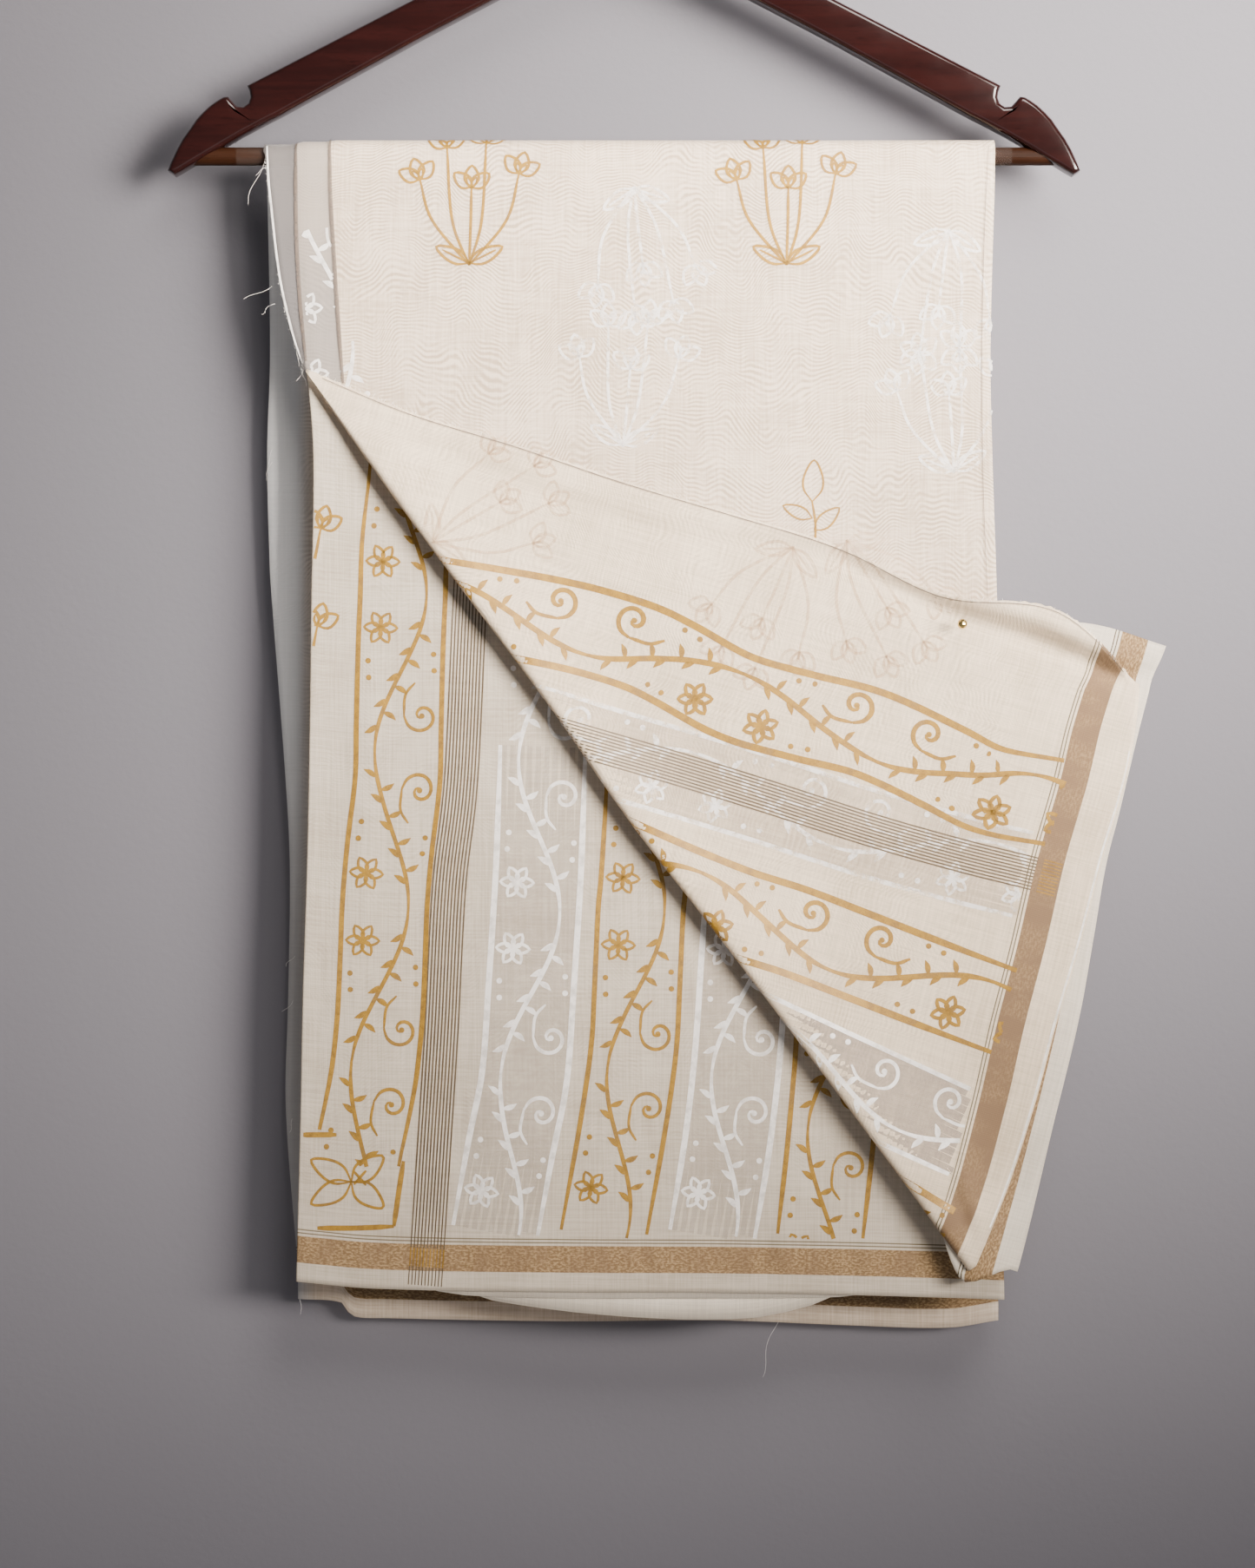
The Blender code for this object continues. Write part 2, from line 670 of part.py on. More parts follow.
def build_hanger_hook(material) -> None:
    """Build the round wire hook, with a rounded free end."""
    path = bpy.data.curves.new("hook_wire", "CURVE")
    path.dimensions = "3D"
    path.bevel_depth = HOOK_WIRE_RADIUS * MM
    path.bevel_resolution = 3
    path.use_fill_caps = True
    route = hook_route()
    line = path.splines.new("POLY")
    line.points.add(len(route) - 1)
    for point, (x, z) in zip(line.points, route):
        point.co = (x * MM, 0.0, z * MM, 1.0)
    line.points[-1].radius = 0.6
    guide = bpy.data.objects.new("hook_wire", path)
    bpy.context.scene.collection.objects.link(guide)
    shape = bmesh.new()
    shape.from_mesh(guide.to_mesh())
    bmesh.ops.remove_doubles(shape, verts=shape.verts, dist=0.001 * MM)
    bpy.data.objects.remove(guide, do_unlink=True)
    add_object("hanger_hook", mesh_from("hanger_hook", shape), material)


def build_ball_pin(material) -> None:
    """Build the ball head of the pin, which sits on the flap."""
    depth = pin_depth()
    shape = bmesh.new()
    bmesh.ops.create_uvsphere(shape, u_segments=14, v_segments=9, radius=PIN_RADIUS * MM)
    head = add_object("ball_pin", mesh_from("ball_pin", shape), material)
    head.location = place(PIN_X, PIN_DROP, depth) * MM


def pin_depth() -> float:
    """Depth of the pin head's middle, so that it just clears the flap in front."""
    best = 0.0
    for along in spread(0.5, 1.0, 60):
        for down in spread(0.0, 0.3, 30):
            x, drop, to_fold = flap_place(along, down)
            apart = math.hypot(x - PIN_X, drop - PIN_DROP)
            if apart < PIN_RADIUS:
                face = flap_depth(x, drop, to_fold, along, down) + SHEET / 2.0
                reach = math.sqrt((PIN_RADIUS + GAP) ** 2 - apart**2)
                best = max(best, face + reach)
    return best


def main() -> None:
    """Build every piece."""
    clear_scene()
    sheer = finish("sheer_cream_cloth", (0.78, 0.72, 0.62), 0.6)
    printed = finish("printed_cream_cloth", (0.76, 0.66, 0.5), 0.6)
    inner_cloth = finish("shaded_cream_cloth", (0.6, 0.57, 0.5), 0.7)
    wood = finish("dark_gloss_wood", (0.055, 0.014, 0.01), 0.2)
    bar_wood = finish("brown_bar_wood", (0.14, 0.05, 0.022), 0.4)
    clear = finish("clear_plastic", (0.8, 0.8, 0.8), 0.1)
    steel = finish("bright_steel", (0.7, 0.7, 0.7), 0.2, 1.0)
    gold = finish("gold_metal", (0.8, 0.55, 0.2), 0.25, 1.0)
    build_folded_layers(inner_cloth)
    build_back_sheet(sheer)
    build_pallu_panel(printed)
    build_front_sheet(sheer)
    build_flap_under_layer(printed)
    build_turned_flap(printed)
    build_hanger_body(wood)
    build_trouser_bar(bar_wood)
    build_bar_sleeve(clear)
    build_hanger_hook(steel)
    build_ball_pin(gold)


main()
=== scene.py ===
"""Sheer block-printed sari, folded into a long pack and hung over a wooden clothes hanger.

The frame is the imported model's: metres, +X to the right, -Y towards the viewer and +Z up,
with the origin at the inside top of the hook. Cloth is laid out in millimetres: x across
the front, drop below the middle of the bar, and depth as the distance from the bar's plane.
"""

import bisect
import logging
import math
import random
from dataclasses import dataclass, replace
from enum import Enum
from typing import Callable, NamedTuple, Sequence

import bmesh
import bpy
from bmesh.types import BMesh, BMVert
from bpy.types import ID, Material, Mesh, Node, NodeOutputs, NodeSocket, NodeTree, Object
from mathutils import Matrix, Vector


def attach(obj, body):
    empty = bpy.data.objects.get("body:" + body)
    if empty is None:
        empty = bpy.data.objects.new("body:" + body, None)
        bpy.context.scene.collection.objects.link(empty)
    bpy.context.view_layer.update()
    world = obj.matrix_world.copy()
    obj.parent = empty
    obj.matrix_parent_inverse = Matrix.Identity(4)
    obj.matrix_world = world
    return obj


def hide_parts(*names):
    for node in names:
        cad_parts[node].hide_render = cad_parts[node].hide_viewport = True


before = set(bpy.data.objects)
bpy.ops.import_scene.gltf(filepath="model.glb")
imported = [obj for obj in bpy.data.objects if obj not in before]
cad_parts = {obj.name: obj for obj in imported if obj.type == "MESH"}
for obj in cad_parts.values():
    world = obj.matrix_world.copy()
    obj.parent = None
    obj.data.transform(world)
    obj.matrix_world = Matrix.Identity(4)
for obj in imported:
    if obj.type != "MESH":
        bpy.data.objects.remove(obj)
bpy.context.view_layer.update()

log = logging.getLogger("sari")
MM = 0.001
BODY = "root"
PHOTO_SCALE = 0.42
PHOTO_MIDDLE = 718.0
PHOTO_BAR = 175.0


Pair = tuple[float, float]
Triple = tuple[float, float, float]
Flat = Callable[[float, float], Vector]
Region = Callable[[float, float], bool]


class Side(Enum):
    """The two legs of the pack."""

    FRONT = -1
    BACK = 1


class Ink(Enum):
    """The block printer's colours, and painted shade laid down the same way."""

    GOLD = "gold_print"
    WHITE = "white_print"
    FADED = "faded_print"
    THREAD = "brown_threads"
    # Painted shade: dark lines along the edges of the layers under the top sheet, and just below the
    # flap's cut edge.
    FOLD = "fold_shade"
    FIELD = "band_field"
    PALE = "pale_print"
    MIST = "faint_field"


class Line:
    """A smooth line through measured places."""

    def __init__(self, *places: Pair) -> None:
        """Keep the places and the slope of the line at each.

        Args:
            places: pairs of where along the line, and the value there.
        """
        self.keys = [place[0] for place in places]
        self.values = [place[1] for place in places]
        last = len(places) - 1
        self.slopes = []
        for index in range(len(places)):
            low = max(index - 1, 0)
            high = min(index + 1, last)
            rise = self.values[high] - self.values[low]
            self.slopes.append(rise / (self.keys[high] - self.keys[low]))

    def at(self, key: float) -> float:
        """Read the line between its places.

        Args:
            key: where along the line.

        Returns:
            The value there.
        """
        keys = self.keys
        values = self.values
        if key <= keys[0]:
            return values[0]
        if key >= keys[-1]:
            return values[-1]
        index = bisect.bisect_right(keys, key) - 1
        span = keys[index + 1] - keys[index]
        part = (key - keys[index]) / span
        square = part * part
        cube = square * part
        start = (2.0 * cube - 3.0 * square + 1.0) * values[index]
        end = (3.0 * square - 2.0 * cube) * values[index + 1]
        leave = (cube - 2.0 * square + part) * span * self.slopes[index]
        arrive = (cube - square) * span * self.slopes[index + 1]
        return start + end + leave + arrive


def ease(value: float) -> float:
    """Rise softly from 0 to 1 as the value goes from 0 to 1."""
    value = min(max(value, 0.0), 1.0)
    return value * value * (3.0 - 2.0 * value)


def from_photo(across: float, down: float) -> Pair:
    """Turn a place in the picture into x and drop on the cloth's front."""
    return (across - PHOTO_MIDDLE) * PHOTO_SCALE, (down - PHOTO_BAR) * PHOTO_SCALE


class Crease(NamedTuple):
    """A soft ridge, or a trough where its height is less than 0, between two places."""

    x: float
    drop: float
    end_x: float
    end_drop: float
    height: float
    reach: float


def crease_height(creases: Sequence[Crease], x: float, drop: float) -> float:
    """Add up what the listed creases raise the cloth by.

    Args:
        creases: the ridges and troughs of one sheet.
        x: place across.
        drop: place below the bar.

    Returns:
        The height in millimetres.
    """
    total = 0.0
    for crease in creases:
        run_x = crease.end_x - crease.x
        run_drop = crease.end_drop - crease.drop
        length = math.hypot(run_x, run_drop)
        along = ((x - crease.x) * run_x + (drop - crease.drop) * run_drop) / length
        aside = ((x - crease.x) * run_drop - (drop - crease.drop) * run_x) / length
        if abs(aside) > 3.0 * crease.reach:
            continue
        taper = ease(along / (0.35 * length)) * ease((length - along) / (0.35 * length))
        total += crease.height * taper * math.exp(-((aside / crease.reach) ** 2))
    return total


@dataclass(frozen=True)
class Drape:
    """How the layers hang over the bar and lie on each other."""

    hook_to_bar: float = 216.0
    pack_radius: float = 6.6
    sheet: float = 1.0
    gap: float = 0.5
    looseness: float = 3.2
    loose_drop: float = 150.0
    swing: float = 5.0
    swing_drop: float = 45.0
    crease_drop: float = 406.0
    crease_height: float = 0.9
    crease_reach: float = 26.0
    roll_reach: float = 30.0

    def leg(self, drop: float) -> float:
        """Depth of the pack's outer face where nothing is creased."""
        swing = self.swing * (1.0 - math.exp(-max(drop, 0.0) / self.swing_drop))
        return self.pack_radius + swing + self.looseness * ease(drop / self.loose_drop)

    def relief(self, x: float, drop: float, side: Side) -> float:
        """Height of the folds that all the layers of a leg share."""
        if side is Side.FRONT:
            pressed = drop - self.crease_drop
            sway = math.sin(x / 41.0 + drop / 170.0)
            sway += 0.5 * math.sin(x / 23.0 - drop / 120.0 + 1.0)
        else:
            pressed = drop - self.crease_drop + 12.0
            sway = math.sin(x / 47.0 - drop / 150.0 + 2.0)
            sway += 0.4 * math.sin(x / 27.0 + drop / 110.0)
        crease = self.crease_height * math.exp(-((pressed / self.crease_reach) ** 2))
        return crease + 1.1 * ease(drop / 300.0) * (sway + 1.0)

    def layer(self, number: int, x: float, drop: float, side: Side = Side.FRONT) -> float:
        """Depth of the middle of a layer.

        Args:
            number: 0 is the pack's outer face; in front 1 is the printed panel, 2 the top
                sheet, 3 the layer under the flap and 4 the flap; behind, 1 is the back.
            x: place across.
            drop: place below the bar.
            side: which leg.

        Returns:
            The depth in millimetres.
        """
        depth = self.leg(drop) + self.relief(x, drop, side)
        if number == 0:
            return depth
        depth += self.gap + self.sheet / 2.0
        if number == 1 or side is Side.BACK:
            return depth
        step = self.sheet + self.gap
        depth += step * ease((drop - 1.0) / 15.0) + (number - 2) * step
        return depth + self.puff(x, drop)

    def puff(self, x: float, drop: float) -> float:
        """How far the diagonal fold stands off the panel at a place."""
        apart = Vector((x, drop)) - FOLD_START
        along = apart.dot(FOLD_RUN)
        inside = apart.x * FOLD_RUN.y - apart.y * FOLD_RUN.x
        height = 6.4 * ease(along / 90.0) + 3.6 * ease((along - 330.0) / 210.0)
        return height * math.exp(-((inside / self.roll_reach) ** 2))

    def place(self, x: float, drop: float, depth: float, side: Side = Side.FRONT) -> Vector:
        """Turn x, drop and depth into a point of the frame, in metres."""
        return Vector((x, side.value * depth, -self.hook_to_bar - drop)) * MM

    def over_bar(self, x: float, angle: float, radius: float) -> Vector:
        """Give a point of a layer bent over the bar, where 0 is behind and pi in front."""
        height = radius * math.sin(angle) - self.hook_to_bar
        return Vector((x, radius * math.cos(angle), height)) * MM


def eighths(*values: float) -> Line:
    """Give the line through values at each eighth from 0 to 1."""
    return Line(*((index / 8.0, value) for index, value in enumerate(values)))


FOLD_START = Vector((-155.0, 105.0))
FOLD_END = Vector((165.5, 539.7))
FOLD_RUN = (FOLD_END - FOLD_START).normalized()
DRAPE = Drape()
BACK_LEFT = Line((0.0, -175.0), (95.0, -174.0), (145.0, -175.6), (200.0, -174.4),
                 (220.0, -173.2), (305.0, -166.8), (350.0, -164.6), (420.0, -165.6),
                 (470.0, -166.6), (550.0, -160.6))
PANEL_LEFT = Line((0.0, -159.0), (95.0, -154.0), (145.0, -150.0), (220.0, -150.8),
                  (305.0, -152.0), (350.0, -153.0), (420.0, -155.0), (470.0, -156.0),
                  (550.0, -157.9))
SECOND_LEFT = Line((0.0, -142.8), (19.3, -142.0), (58.8, -139.4), (88.6, -137.3),
                   (112.6, -135.2), (160.0, -132.0))
RIGHT_EDGE = Line((0.0, 180.0), (95.0, 176.8), (145.0, 177.5), (220.0, 179.8),
                  (305.0, 181.0), (350.0, 181.5), (420.0, 182.3), (470.0, 183.0),
                  (550.0, 184.3))
PANEL_HEM = Line((-160.0, 545.6), (-120.0, 549.2), (-33.0, 550.6), (45.0, 551.4),
                 (115.0, 552.4), (160.0, 553.6), (184.0, 554.5))
BACK_HEM = Line((-160.0, 559.5), (-138.6, 561.5), (-134.6, 567.6), (-118.0, 569.0),
                (-33.0, 570.2), (45.0, 569.8), (115.0, 572.6), (160.0, 573.6), (184.0, 570.0))
RAW_LEFT = Line((0.0, -174.3), (31.5, -170.4), (68.0, -165.6), (89.0, -160.2), (105.0, -155.0))
RAW_X = eighths(-155.0, -105.0, -52.5, -0.5, 51.7, 103.6, 153.3, 207.3, 247.8)
RAW_DROP = eighths(105.0, 126.1, 142.3, 159.9, 175.6, 191.8, 215.1, 222.6, 258.3)
FOLD_X = eighths(-155.0, -116.1, -76.0, -35.5, 3.0, 44.3, 85.2, 125.7, 165.5)
FOLD_DROP = eighths(105.0, 160.1, 214.5, 268.6, 324.0, 377.4, 431.1, 485.2, 539.7)
CURL = Line((0.0, 0.0), (0.25, 0.0), (0.375, 0.05), (0.5, 0.1), (0.625, 0.35),
            (0.75, 0.9), (0.875, 1.0), (1.0, 0.55))
FLAP_SIDE = Line((240.0, 247.8), (260.0, 247.8), (300.0, 241.9), (340.0, 230.1),
                 (380.0, 219.6), (420.0, 207.8), (460.0, 197.2), (500.0, 184.1),
                 (540.0, 166.0))
UNDER_SIDE = Line((240.0, 261.1), (260.0, 255.2), (300.0, 244.3), (340.0, 232.8),
                  (380.0, 225.7), (420.0, 218.4), (460.0, 208.9), (500.0, 198.3),
                  (540.0, 185.8))


class Graph:
    """A node tree that short calls fill and wire."""

    def __init__(self, tree: NodeTree) -> None:
        """Keep the tree that the calls work on."""
        self.tree = tree

    def node(self, kind: str, inputs: dict | None = None, **settings: object) -> Node:
        """Add a node.

        Args:
            kind: the node's type name.
            inputs: socket names or numbers, each with a value or a socket to link.
            settings: the node's own properties.

        Returns:
            The new node.
        """
        made = self.tree.nodes.new(kind)
        for name, value in settings.items():
            setattr(made, name, value)
        for name, value in (inputs or {}).items():
            self.feed(made, name, value)
        return made

    def feed(self, node: Node, name: str | int, value: object) -> None:
        """Link a socket to a node's input, or set a value there.

        Args:
            node: the node.
            name: the input's name or number.
            value: the socket, the value or a colour's three shares.
        """
        socket = node.inputs[name]
        if isinstance(value, NodeSocket):
            self.tree.links.new(value, socket)
        elif socket.type == "RGBA":
            socket.default_value = (*value, 1.0)
        else:
            socket.default_value = value

    def math(self, operation: str, first: object, second: object = 0.0) -> NodeSocket:
        """Add a Math node and give its result."""
        return self.node("ShaderNodeMath", {0: first, 1: second}, operation=operation).outputs[0]

    def plus(self, first: object, second: object) -> NodeSocket:
        """Add two values."""
        return self.math("ADD", first, second)

    def minus(self, first: object, second: object) -> NodeSocket:
        """Take the second value from the first."""
        return self.math("SUBTRACT", first, second)

    def times(self, first: object, second: object) -> NodeSocket:
        """Multiply two values."""
        return self.math("MULTIPLY", first, second)

    def scaled(self, value: object, factor: float, base: object) -> NodeSocket:
        """Multiply a value and then add to it."""
        return self.plus(self.times(value, factor), base)

    def mix(self, share: object, first: object, second: object) -> NodeSocket:
        """Add a colour mix and give its result."""
        made = self.node("ShaderNodeMix", {0: share, 6: first, 7: second}, data_type="RGBA")
        return made.outputs[2]

    def step(self, value: object, low: float, high: float) -> NodeSocket:
        """Rise softly from 0 to 1 between two values."""
        return self.node("ShaderNodeMapRange", {"Value": value, "From Min": low, "From Max": high},
                         interpolation_type="SMOOTHSTEP").outputs["Result"]

    def between(self, value: object, low: float, high: float, blur: float) -> NodeSocket:
        """Give 1 from one value to another, and 0 outside them."""
        rise = self.step(value, low, low + blur)
        return self.minus(rise, self.step(value, high, high + blur))

    def noise(self, place: object, scale: float, detail: float = 2.0,
              roughness: float = 0.5) -> NodeSocket:
        """Add a Noise texture and give its value."""
        return self.node("ShaderNodeTexNoise", {"Vector": place, "Scale": scale,
                                                "Detail": detail, "Roughness": roughness},
                         ).outputs["Fac"]

    def streaks(self, place: object, scale: Triple, detail: float = 2.0,
                roughness: float = 0.5) -> NodeSocket:
        """Add a Noise texture that is scaled differently along each axis."""
        made = self.node("ShaderNodeMapping", {"Vector": place, "Scale": scale})
        return self.noise(made.outputs["Vector"], 1.0, detail, roughness)

    def place(self) -> NodeSocket:
        """Give the place in the object's own axes."""
        return self.node("ShaderNodeTexCoord").outputs["Object"]

    def axes(self, place: object) -> NodeOutputs:
        """Split a place into its three numbers."""
        return self.node("ShaderNodeSeparateXYZ", {0: place}).outputs

    def group(self, tree: NodeTree, name: str, value: object) -> Node:
        """Place a shared group and wire its one input."""
        return self.node("ShaderNodeGroup", {name: value}, node_tree=tree)

    def bump(self, shader: Node, strength: float, distance: float, height: object) -> None:
        """Roughen a shader's surface by a height."""
        made = self.node("ShaderNodeBump", {"Strength": strength, "Distance": distance,
                                            "Height": height})
        self.feed(shader, "Normal", made.outputs["Normal"])


def shared_group(name: str, entry: str, kind: str,
                 *results: str) -> tuple[Graph, NodeSocket, Node]:
    """Start a shader node group that several materials use.

    Args:
        name: the group's name.
        entry: the name of its one input.
        kind: that input's type.
        results: the names of its outputs, all plain numbers.

    Returns:
        The graph, the input's socket, and the output node.
    """
    tree = bpy.data.node_groups.new(name, "ShaderNodeTree")
    tree.interface.new_socket(name=entry, in_out="INPUT", socket_type=kind)
    for label in results:
        tree.interface.new_socket(name=label, in_out="OUTPUT", socket_type="NodeSocketFloat")
    graph = Graph(tree)
    return graph, graph.node("NodeGroupInput").outputs[entry], graph.node("NodeGroupOutput")


class Effects:
    """Effects that more than one material uses, each built once."""

    THREAD_PITCH = 0.0009
    RIPPLE_PITCH = 0.0022

    def __init__(self) -> None:
        """Build the groups."""
        self.weave = self.build_weave()
        self.border = self.build_border()
        self.moire = self.build_moire()
        self.grain = self.build_grain()

    def build_weave(self) -> NodeTree:
        """Build plain weave with slubs: how light the threads are, and their height."""
        graph, place, leave = shared_group("plain_weave", "Place", "NodeSocketVector",
                                           "Tone", "Height")
        parts = graph.axes(place)
        turns = math.tau / self.THREAD_PITCH
        across = graph.math("SINE", graph.times(parts[0], turns))
        down = graph.math("SINE", graph.times(parts[1], turns))
        threads = graph.times(graph.plus(across, down), 0.25)
        warp = graph.streaks(place, (900.0, 30.0, 1.0), 3.0, 0.6)
        weft = graph.streaks(place, (30.0, 900.0, 1.0), 3.0, 0.6)
        slubs = graph.plus(warp, weft)
        patches = graph.times(graph.noise(place, 26.0, 4.0, 0.6), 0.5)
        graph.feed(leave, "Tone", graph.scaled(slubs, 0.5, patches))
        graph.feed(leave, "Height", graph.plus(threads, slubs))
        return graph.tree

    def build_border(self) -> NodeTree:
        """Build the woven metal-thread border: its band and its two fine lines."""
        graph, height, leave = shared_group("woven_border", "Above hem", "NodeSocketFloat",
                                            "Band", "Lines")
        graph.feed(leave, "Band", graph.between(height, 0.0092, 0.0221, 0.0003))
        near = graph.between(height, 0.0233, 0.0239, 0.0002)
        far = graph.between(height, 0.0249, 0.0255, 0.0002)
        graph.feed(leave, "Lines", graph.plus(near, far))
        return graph.tree

    def build_moire(self) -> NodeTree:
        """Build the fine wavy lines that two sheer layers make together."""
        graph, place, leave = shared_group("sheer_ripple", "Place", "NodeSocketVector", "Ripple")
        rise = graph.axes(place)[1]
        bend = graph.times(graph.streaks(place, (24.0, 10.0, 1.0)), 210.0)
        turns = graph.scaled(rise, math.tau / self.RIPPLE_PITCH, bend)
        small = graph.times(graph.noise(place, 90.0), 5.0)
        wave = graph.math("SINE", graph.plus(turns, small))
        fade = graph.step(graph.noise(place, 70.0, 4.0, 0.7), 0.36, 0.66)
        fade = graph.times(fade, graph.step(rise, 0.03, 0.07))
        graph.feed(leave, "Ripple", graph.times(wave, fade))
        return graph.tree

    def build_grain(self) -> NodeTree:
        """Build wood grain along X: its streaks and its pores."""
        graph, place, leave = shared_group("wood_grain", "Place", "NodeSocketVector",
                                           "Streaks", "Pores")
        graph.feed(leave, "Streaks", graph.streaks(place, (14.0, 260.0, 260.0), 5.0, 0.6))
        graph.feed(leave, "Pores", graph.streaks(place, (120.0, 1600.0, 1600.0), 2.0, 0.7))
        return graph.tree


def start_material(name: str, constants: dict) -> tuple[Material, Graph, Node]:
    """Start a material and set what is the same all over it.

    Args:
        name: the material's name.
        constants: values for the shader's own sockets.

    Returns:
        The material, its graph and its shader.
    """
    material = bpy.data.materials.new(name)
    material.use_nodes = True
    shader = material.node_tree.nodes["Principled BSDF"]
    for socket, value in constants.items():
        shader.inputs[socket].default_value = value
    return material, Graph(material.node_tree), shader


@dataclass(frozen=True)
class ClothFinish:
    """Sheer silk and cotton, with its woven border."""

    name: str
    light: Triple
    dark: Triple
    opacity: float
    ripple: float
    # Whether the sheet takes painted shade on its strips at the left.
    strips: bool = False
    # A fixed share by which the metal border is made darker all over.
    border_darkening: float = 0.0

    def shade_strips(self, graph: Graph, place: NodeSocket,
                     colour: NodeSocket) -> NodeSocket:
        """Paint shade on the strips at the left, where few layers lie under the sheet: a grey painted
        shade that darkens lower down, a near-black painted shadow on the outermost strip in front, and
        behind and over the bar a grey painted shade along the left edge that darkens towards the hem.

        Args:
            graph: the material's graph.
            place: the place on the flat cloth.
            colour: the cloth's colour elsewhere.

        Returns:
            The colour.
        """
        across, rise, _ = graph.axes(place)
        fall = graph.minus(rise, TopSheet.FRONT_START * MM)
        before = graph.step(fall, -0.014, -0.012)
        lean = graph.minus(across, graph.times(fall, 0.06))
        bow = graph.times(graph.times(fall, fall), 0.5)
        bowed = graph.minus(across, bow)
        second = graph.minus(before, graph.step(lean, -0.1432, -0.1426))
        first = graph.minus(before, graph.step(bowed, -0.1594, -0.1588))
        # Painted shade: the strips left of the second fold line turn grey, darker lower down.
        grey = graph.mix(graph.step(fall, 0.03, 0.08), (0.46, 0.4, 0.35), (0.36, 0.325, 0.3))
        colour = graph.mix(graph.times(second, 0.9), colour, grey)
        # Painted shade: behind and over the bar, the left edge turns a neutral grey that darkens
        # towards the hem.
        inside = graph.math("MAXIMUM", before, graph.step(across, -0.162, -0.15))
        painted_edge_shade = graph.mix(graph.step(rise, 0.16, 0.3), (0.62, 0.6, 0.58), (0.84, 0.84, 0.84))
        colour = graph.mix(inside, painted_edge_shade, colour)
        # Painted shadow: the outermost strip in front, left of the first fold line, turns nearly
        # black.
        return graph.mix(graph.times(first, 0.92), colour, (0.19, 0.176, 0.173))

    def make(self, effects: Effects) -> Material:
        """Build the material.

        Args:
            effects: the shared groups.

        Returns:
            The material.
        """
        material, graph, shader = start_material(self.name, {
            "Roughness": 0.72, "Sheen Weight": 0.18, "Sheen Roughness": 0.4,
            "Specular IOR Level": 0.3})
        place = graph.node("ShaderNodeUVMap", uv_map="cloth").outputs["UV"]
        weave = graph.group(effects.weave, "Place", place).outputs
        ripple = graph.group(effects.moire, "Place", place).outputs["Ripple"]
        ripple = graph.times(ripple, self.ripple)
        share = graph.plus(graph.step(weave["Tone"], 0.45, 1.0), ripple)
        colour = graph.mix(share, self.dark, self.light)
        if self.strips:
            colour = self.shade_strips(graph, place, colour)
        height = graph.plus(weave["Height"], graph.times(ripple, 3.0))
        border = graph.group(effects.border, "Above hem", graph.axes(place)[1]).outputs
        spark = graph.step(graph.streaks(place, (620.0, 1100.0, 1.0)), 0.4, 0.66)
        metal = graph.mix(spark, (0.21, 0.13, 0.062), (0.42, 0.285, 0.145))
        worn = graph.step(graph.streaks(place, (90.0, 40.0, 1.0)), 0.35, 0.7)
        # The metal border darkens at random where worn, and all over by the fixed share that each
        # finish sets.
        metal = graph.mix(graph.scaled(worn, 0.5, self.border_darkening), metal, (0.2, 0.125, 0.07))
        colour = graph.mix(border["Band"], colour, metal)
        colour = graph.mix(border["Lines"], colour, (0.17, 0.135, 0.08))
        alpha = graph.scaled(weave["Tone"], 0.16, self.opacity - 0.11)
        alpha = graph.plus(alpha, graph.times(border["Band"], 0.3))
        graph.feed(shader, "Base Color", colour)
        graph.feed(shader, "Metallic", graph.times(border["Band"], 0.25))
        graph.feed(shader, "Alpha", graph.math("MINIMUM", alpha, 1.0))
        graph.bump(shader, 0.35, 0.00012, height)
        return material


@dataclass(frozen=True)
class InkFinish:
    """Block print that lies on the cloth, and painted shade laid the same way."""

    ink: Ink
    light: Triple
    dark: Triple
    roughness: float
    metallic: float
    opacity: float
    wear: float = 0.25

    def make(self) -> Material:
        """Build the material."""
        material, graph, shader = start_material(self.ink.value, {
            "Roughness": self.roughness, "Metallic": self.metallic,
            "Specular IOR Level": 0.5})
        place = graph.place()
        fine = graph.noise(place, 2600.0, 2.0, 0.6)
        broad = graph.noise(place, 180.0, 3.0, 0.6)
        patches = graph.times(graph.step(broad, 0.35, 0.65), 0.35)
        share = graph.scaled(graph.step(fine, 0.35, 0.7), 0.65, patches)
        graph.feed(shader, "Base Color", graph.mix(share, self.dark, self.light))
        graph.feed(shader, "Alpha", graph.scaled(graph.step(broad, 0.3, 0.6), self.wear,
                                                 self.opacity - self.wear))
        graph.bump(shader, 0.4, 0.0001, fine)
        return material


@dataclass(frozen=True)
class WoodFinish:
    """Stained wood under varnish."""

    name: str
    light: Triple
    dark: Triple
    roughness: float
    coat: float
    shine: float = 0.3

    def make(self, effects: Effects) -> Material:
        """Build the material.

        Args:
            effects: the shared groups.

        Returns:
            The material.
        """
        material, graph, shader = start_material(self.name, {
            "Coat Weight": self.coat, "Coat Roughness": 0.06, "Specular IOR Level": self.shine})
        place = graph.place()
        grain = graph.group(effects.grain, "Place", place).outputs
        colour = graph.mix(graph.step(grain["Streaks"], 0.3, 0.7), self.dark, self.light)
        pores = graph.times(graph.step(grain["Pores"], 0.56, 0.72), 0.5)
        graph.feed(shader, "Base Color",
                   graph.mix(pores, colour, tuple(value * 0.4 for value in self.dark)))
        smear = graph.step(graph.noise(place, 38.0, 4.0, 0.6), 0.35, 0.7)
        graph.feed(shader, "Roughness", graph.scaled(smear, 0.05, self.roughness))
        graph.bump(shader, 0.1, 0.0001, grain["Streaks"])
        return material


@dataclass(frozen=True)
class MetalFinish:
    """Plated or polished metal with fine scratches."""

    name: str
    colour: Triple
    roughness: float

    def make(self) -> Material:
        """Build the material."""
        material, graph, shader = start_material(self.name, {"Metallic": 1.0})
        place = graph.place()
        scratches = graph.streaks(place, (2200.0, 2200.0, 240.0), 3.0, 0.6)
        graph.feed(shader, "Roughness", graph.scaled(scratches, 0.12, self.roughness))
        darker = tuple(value * 0.82 for value in self.colour)
        graph.feed(shader, "Base Color",
                   graph.mix(graph.noise(place, 60.0, 3.0), darker, self.colour))
        return material


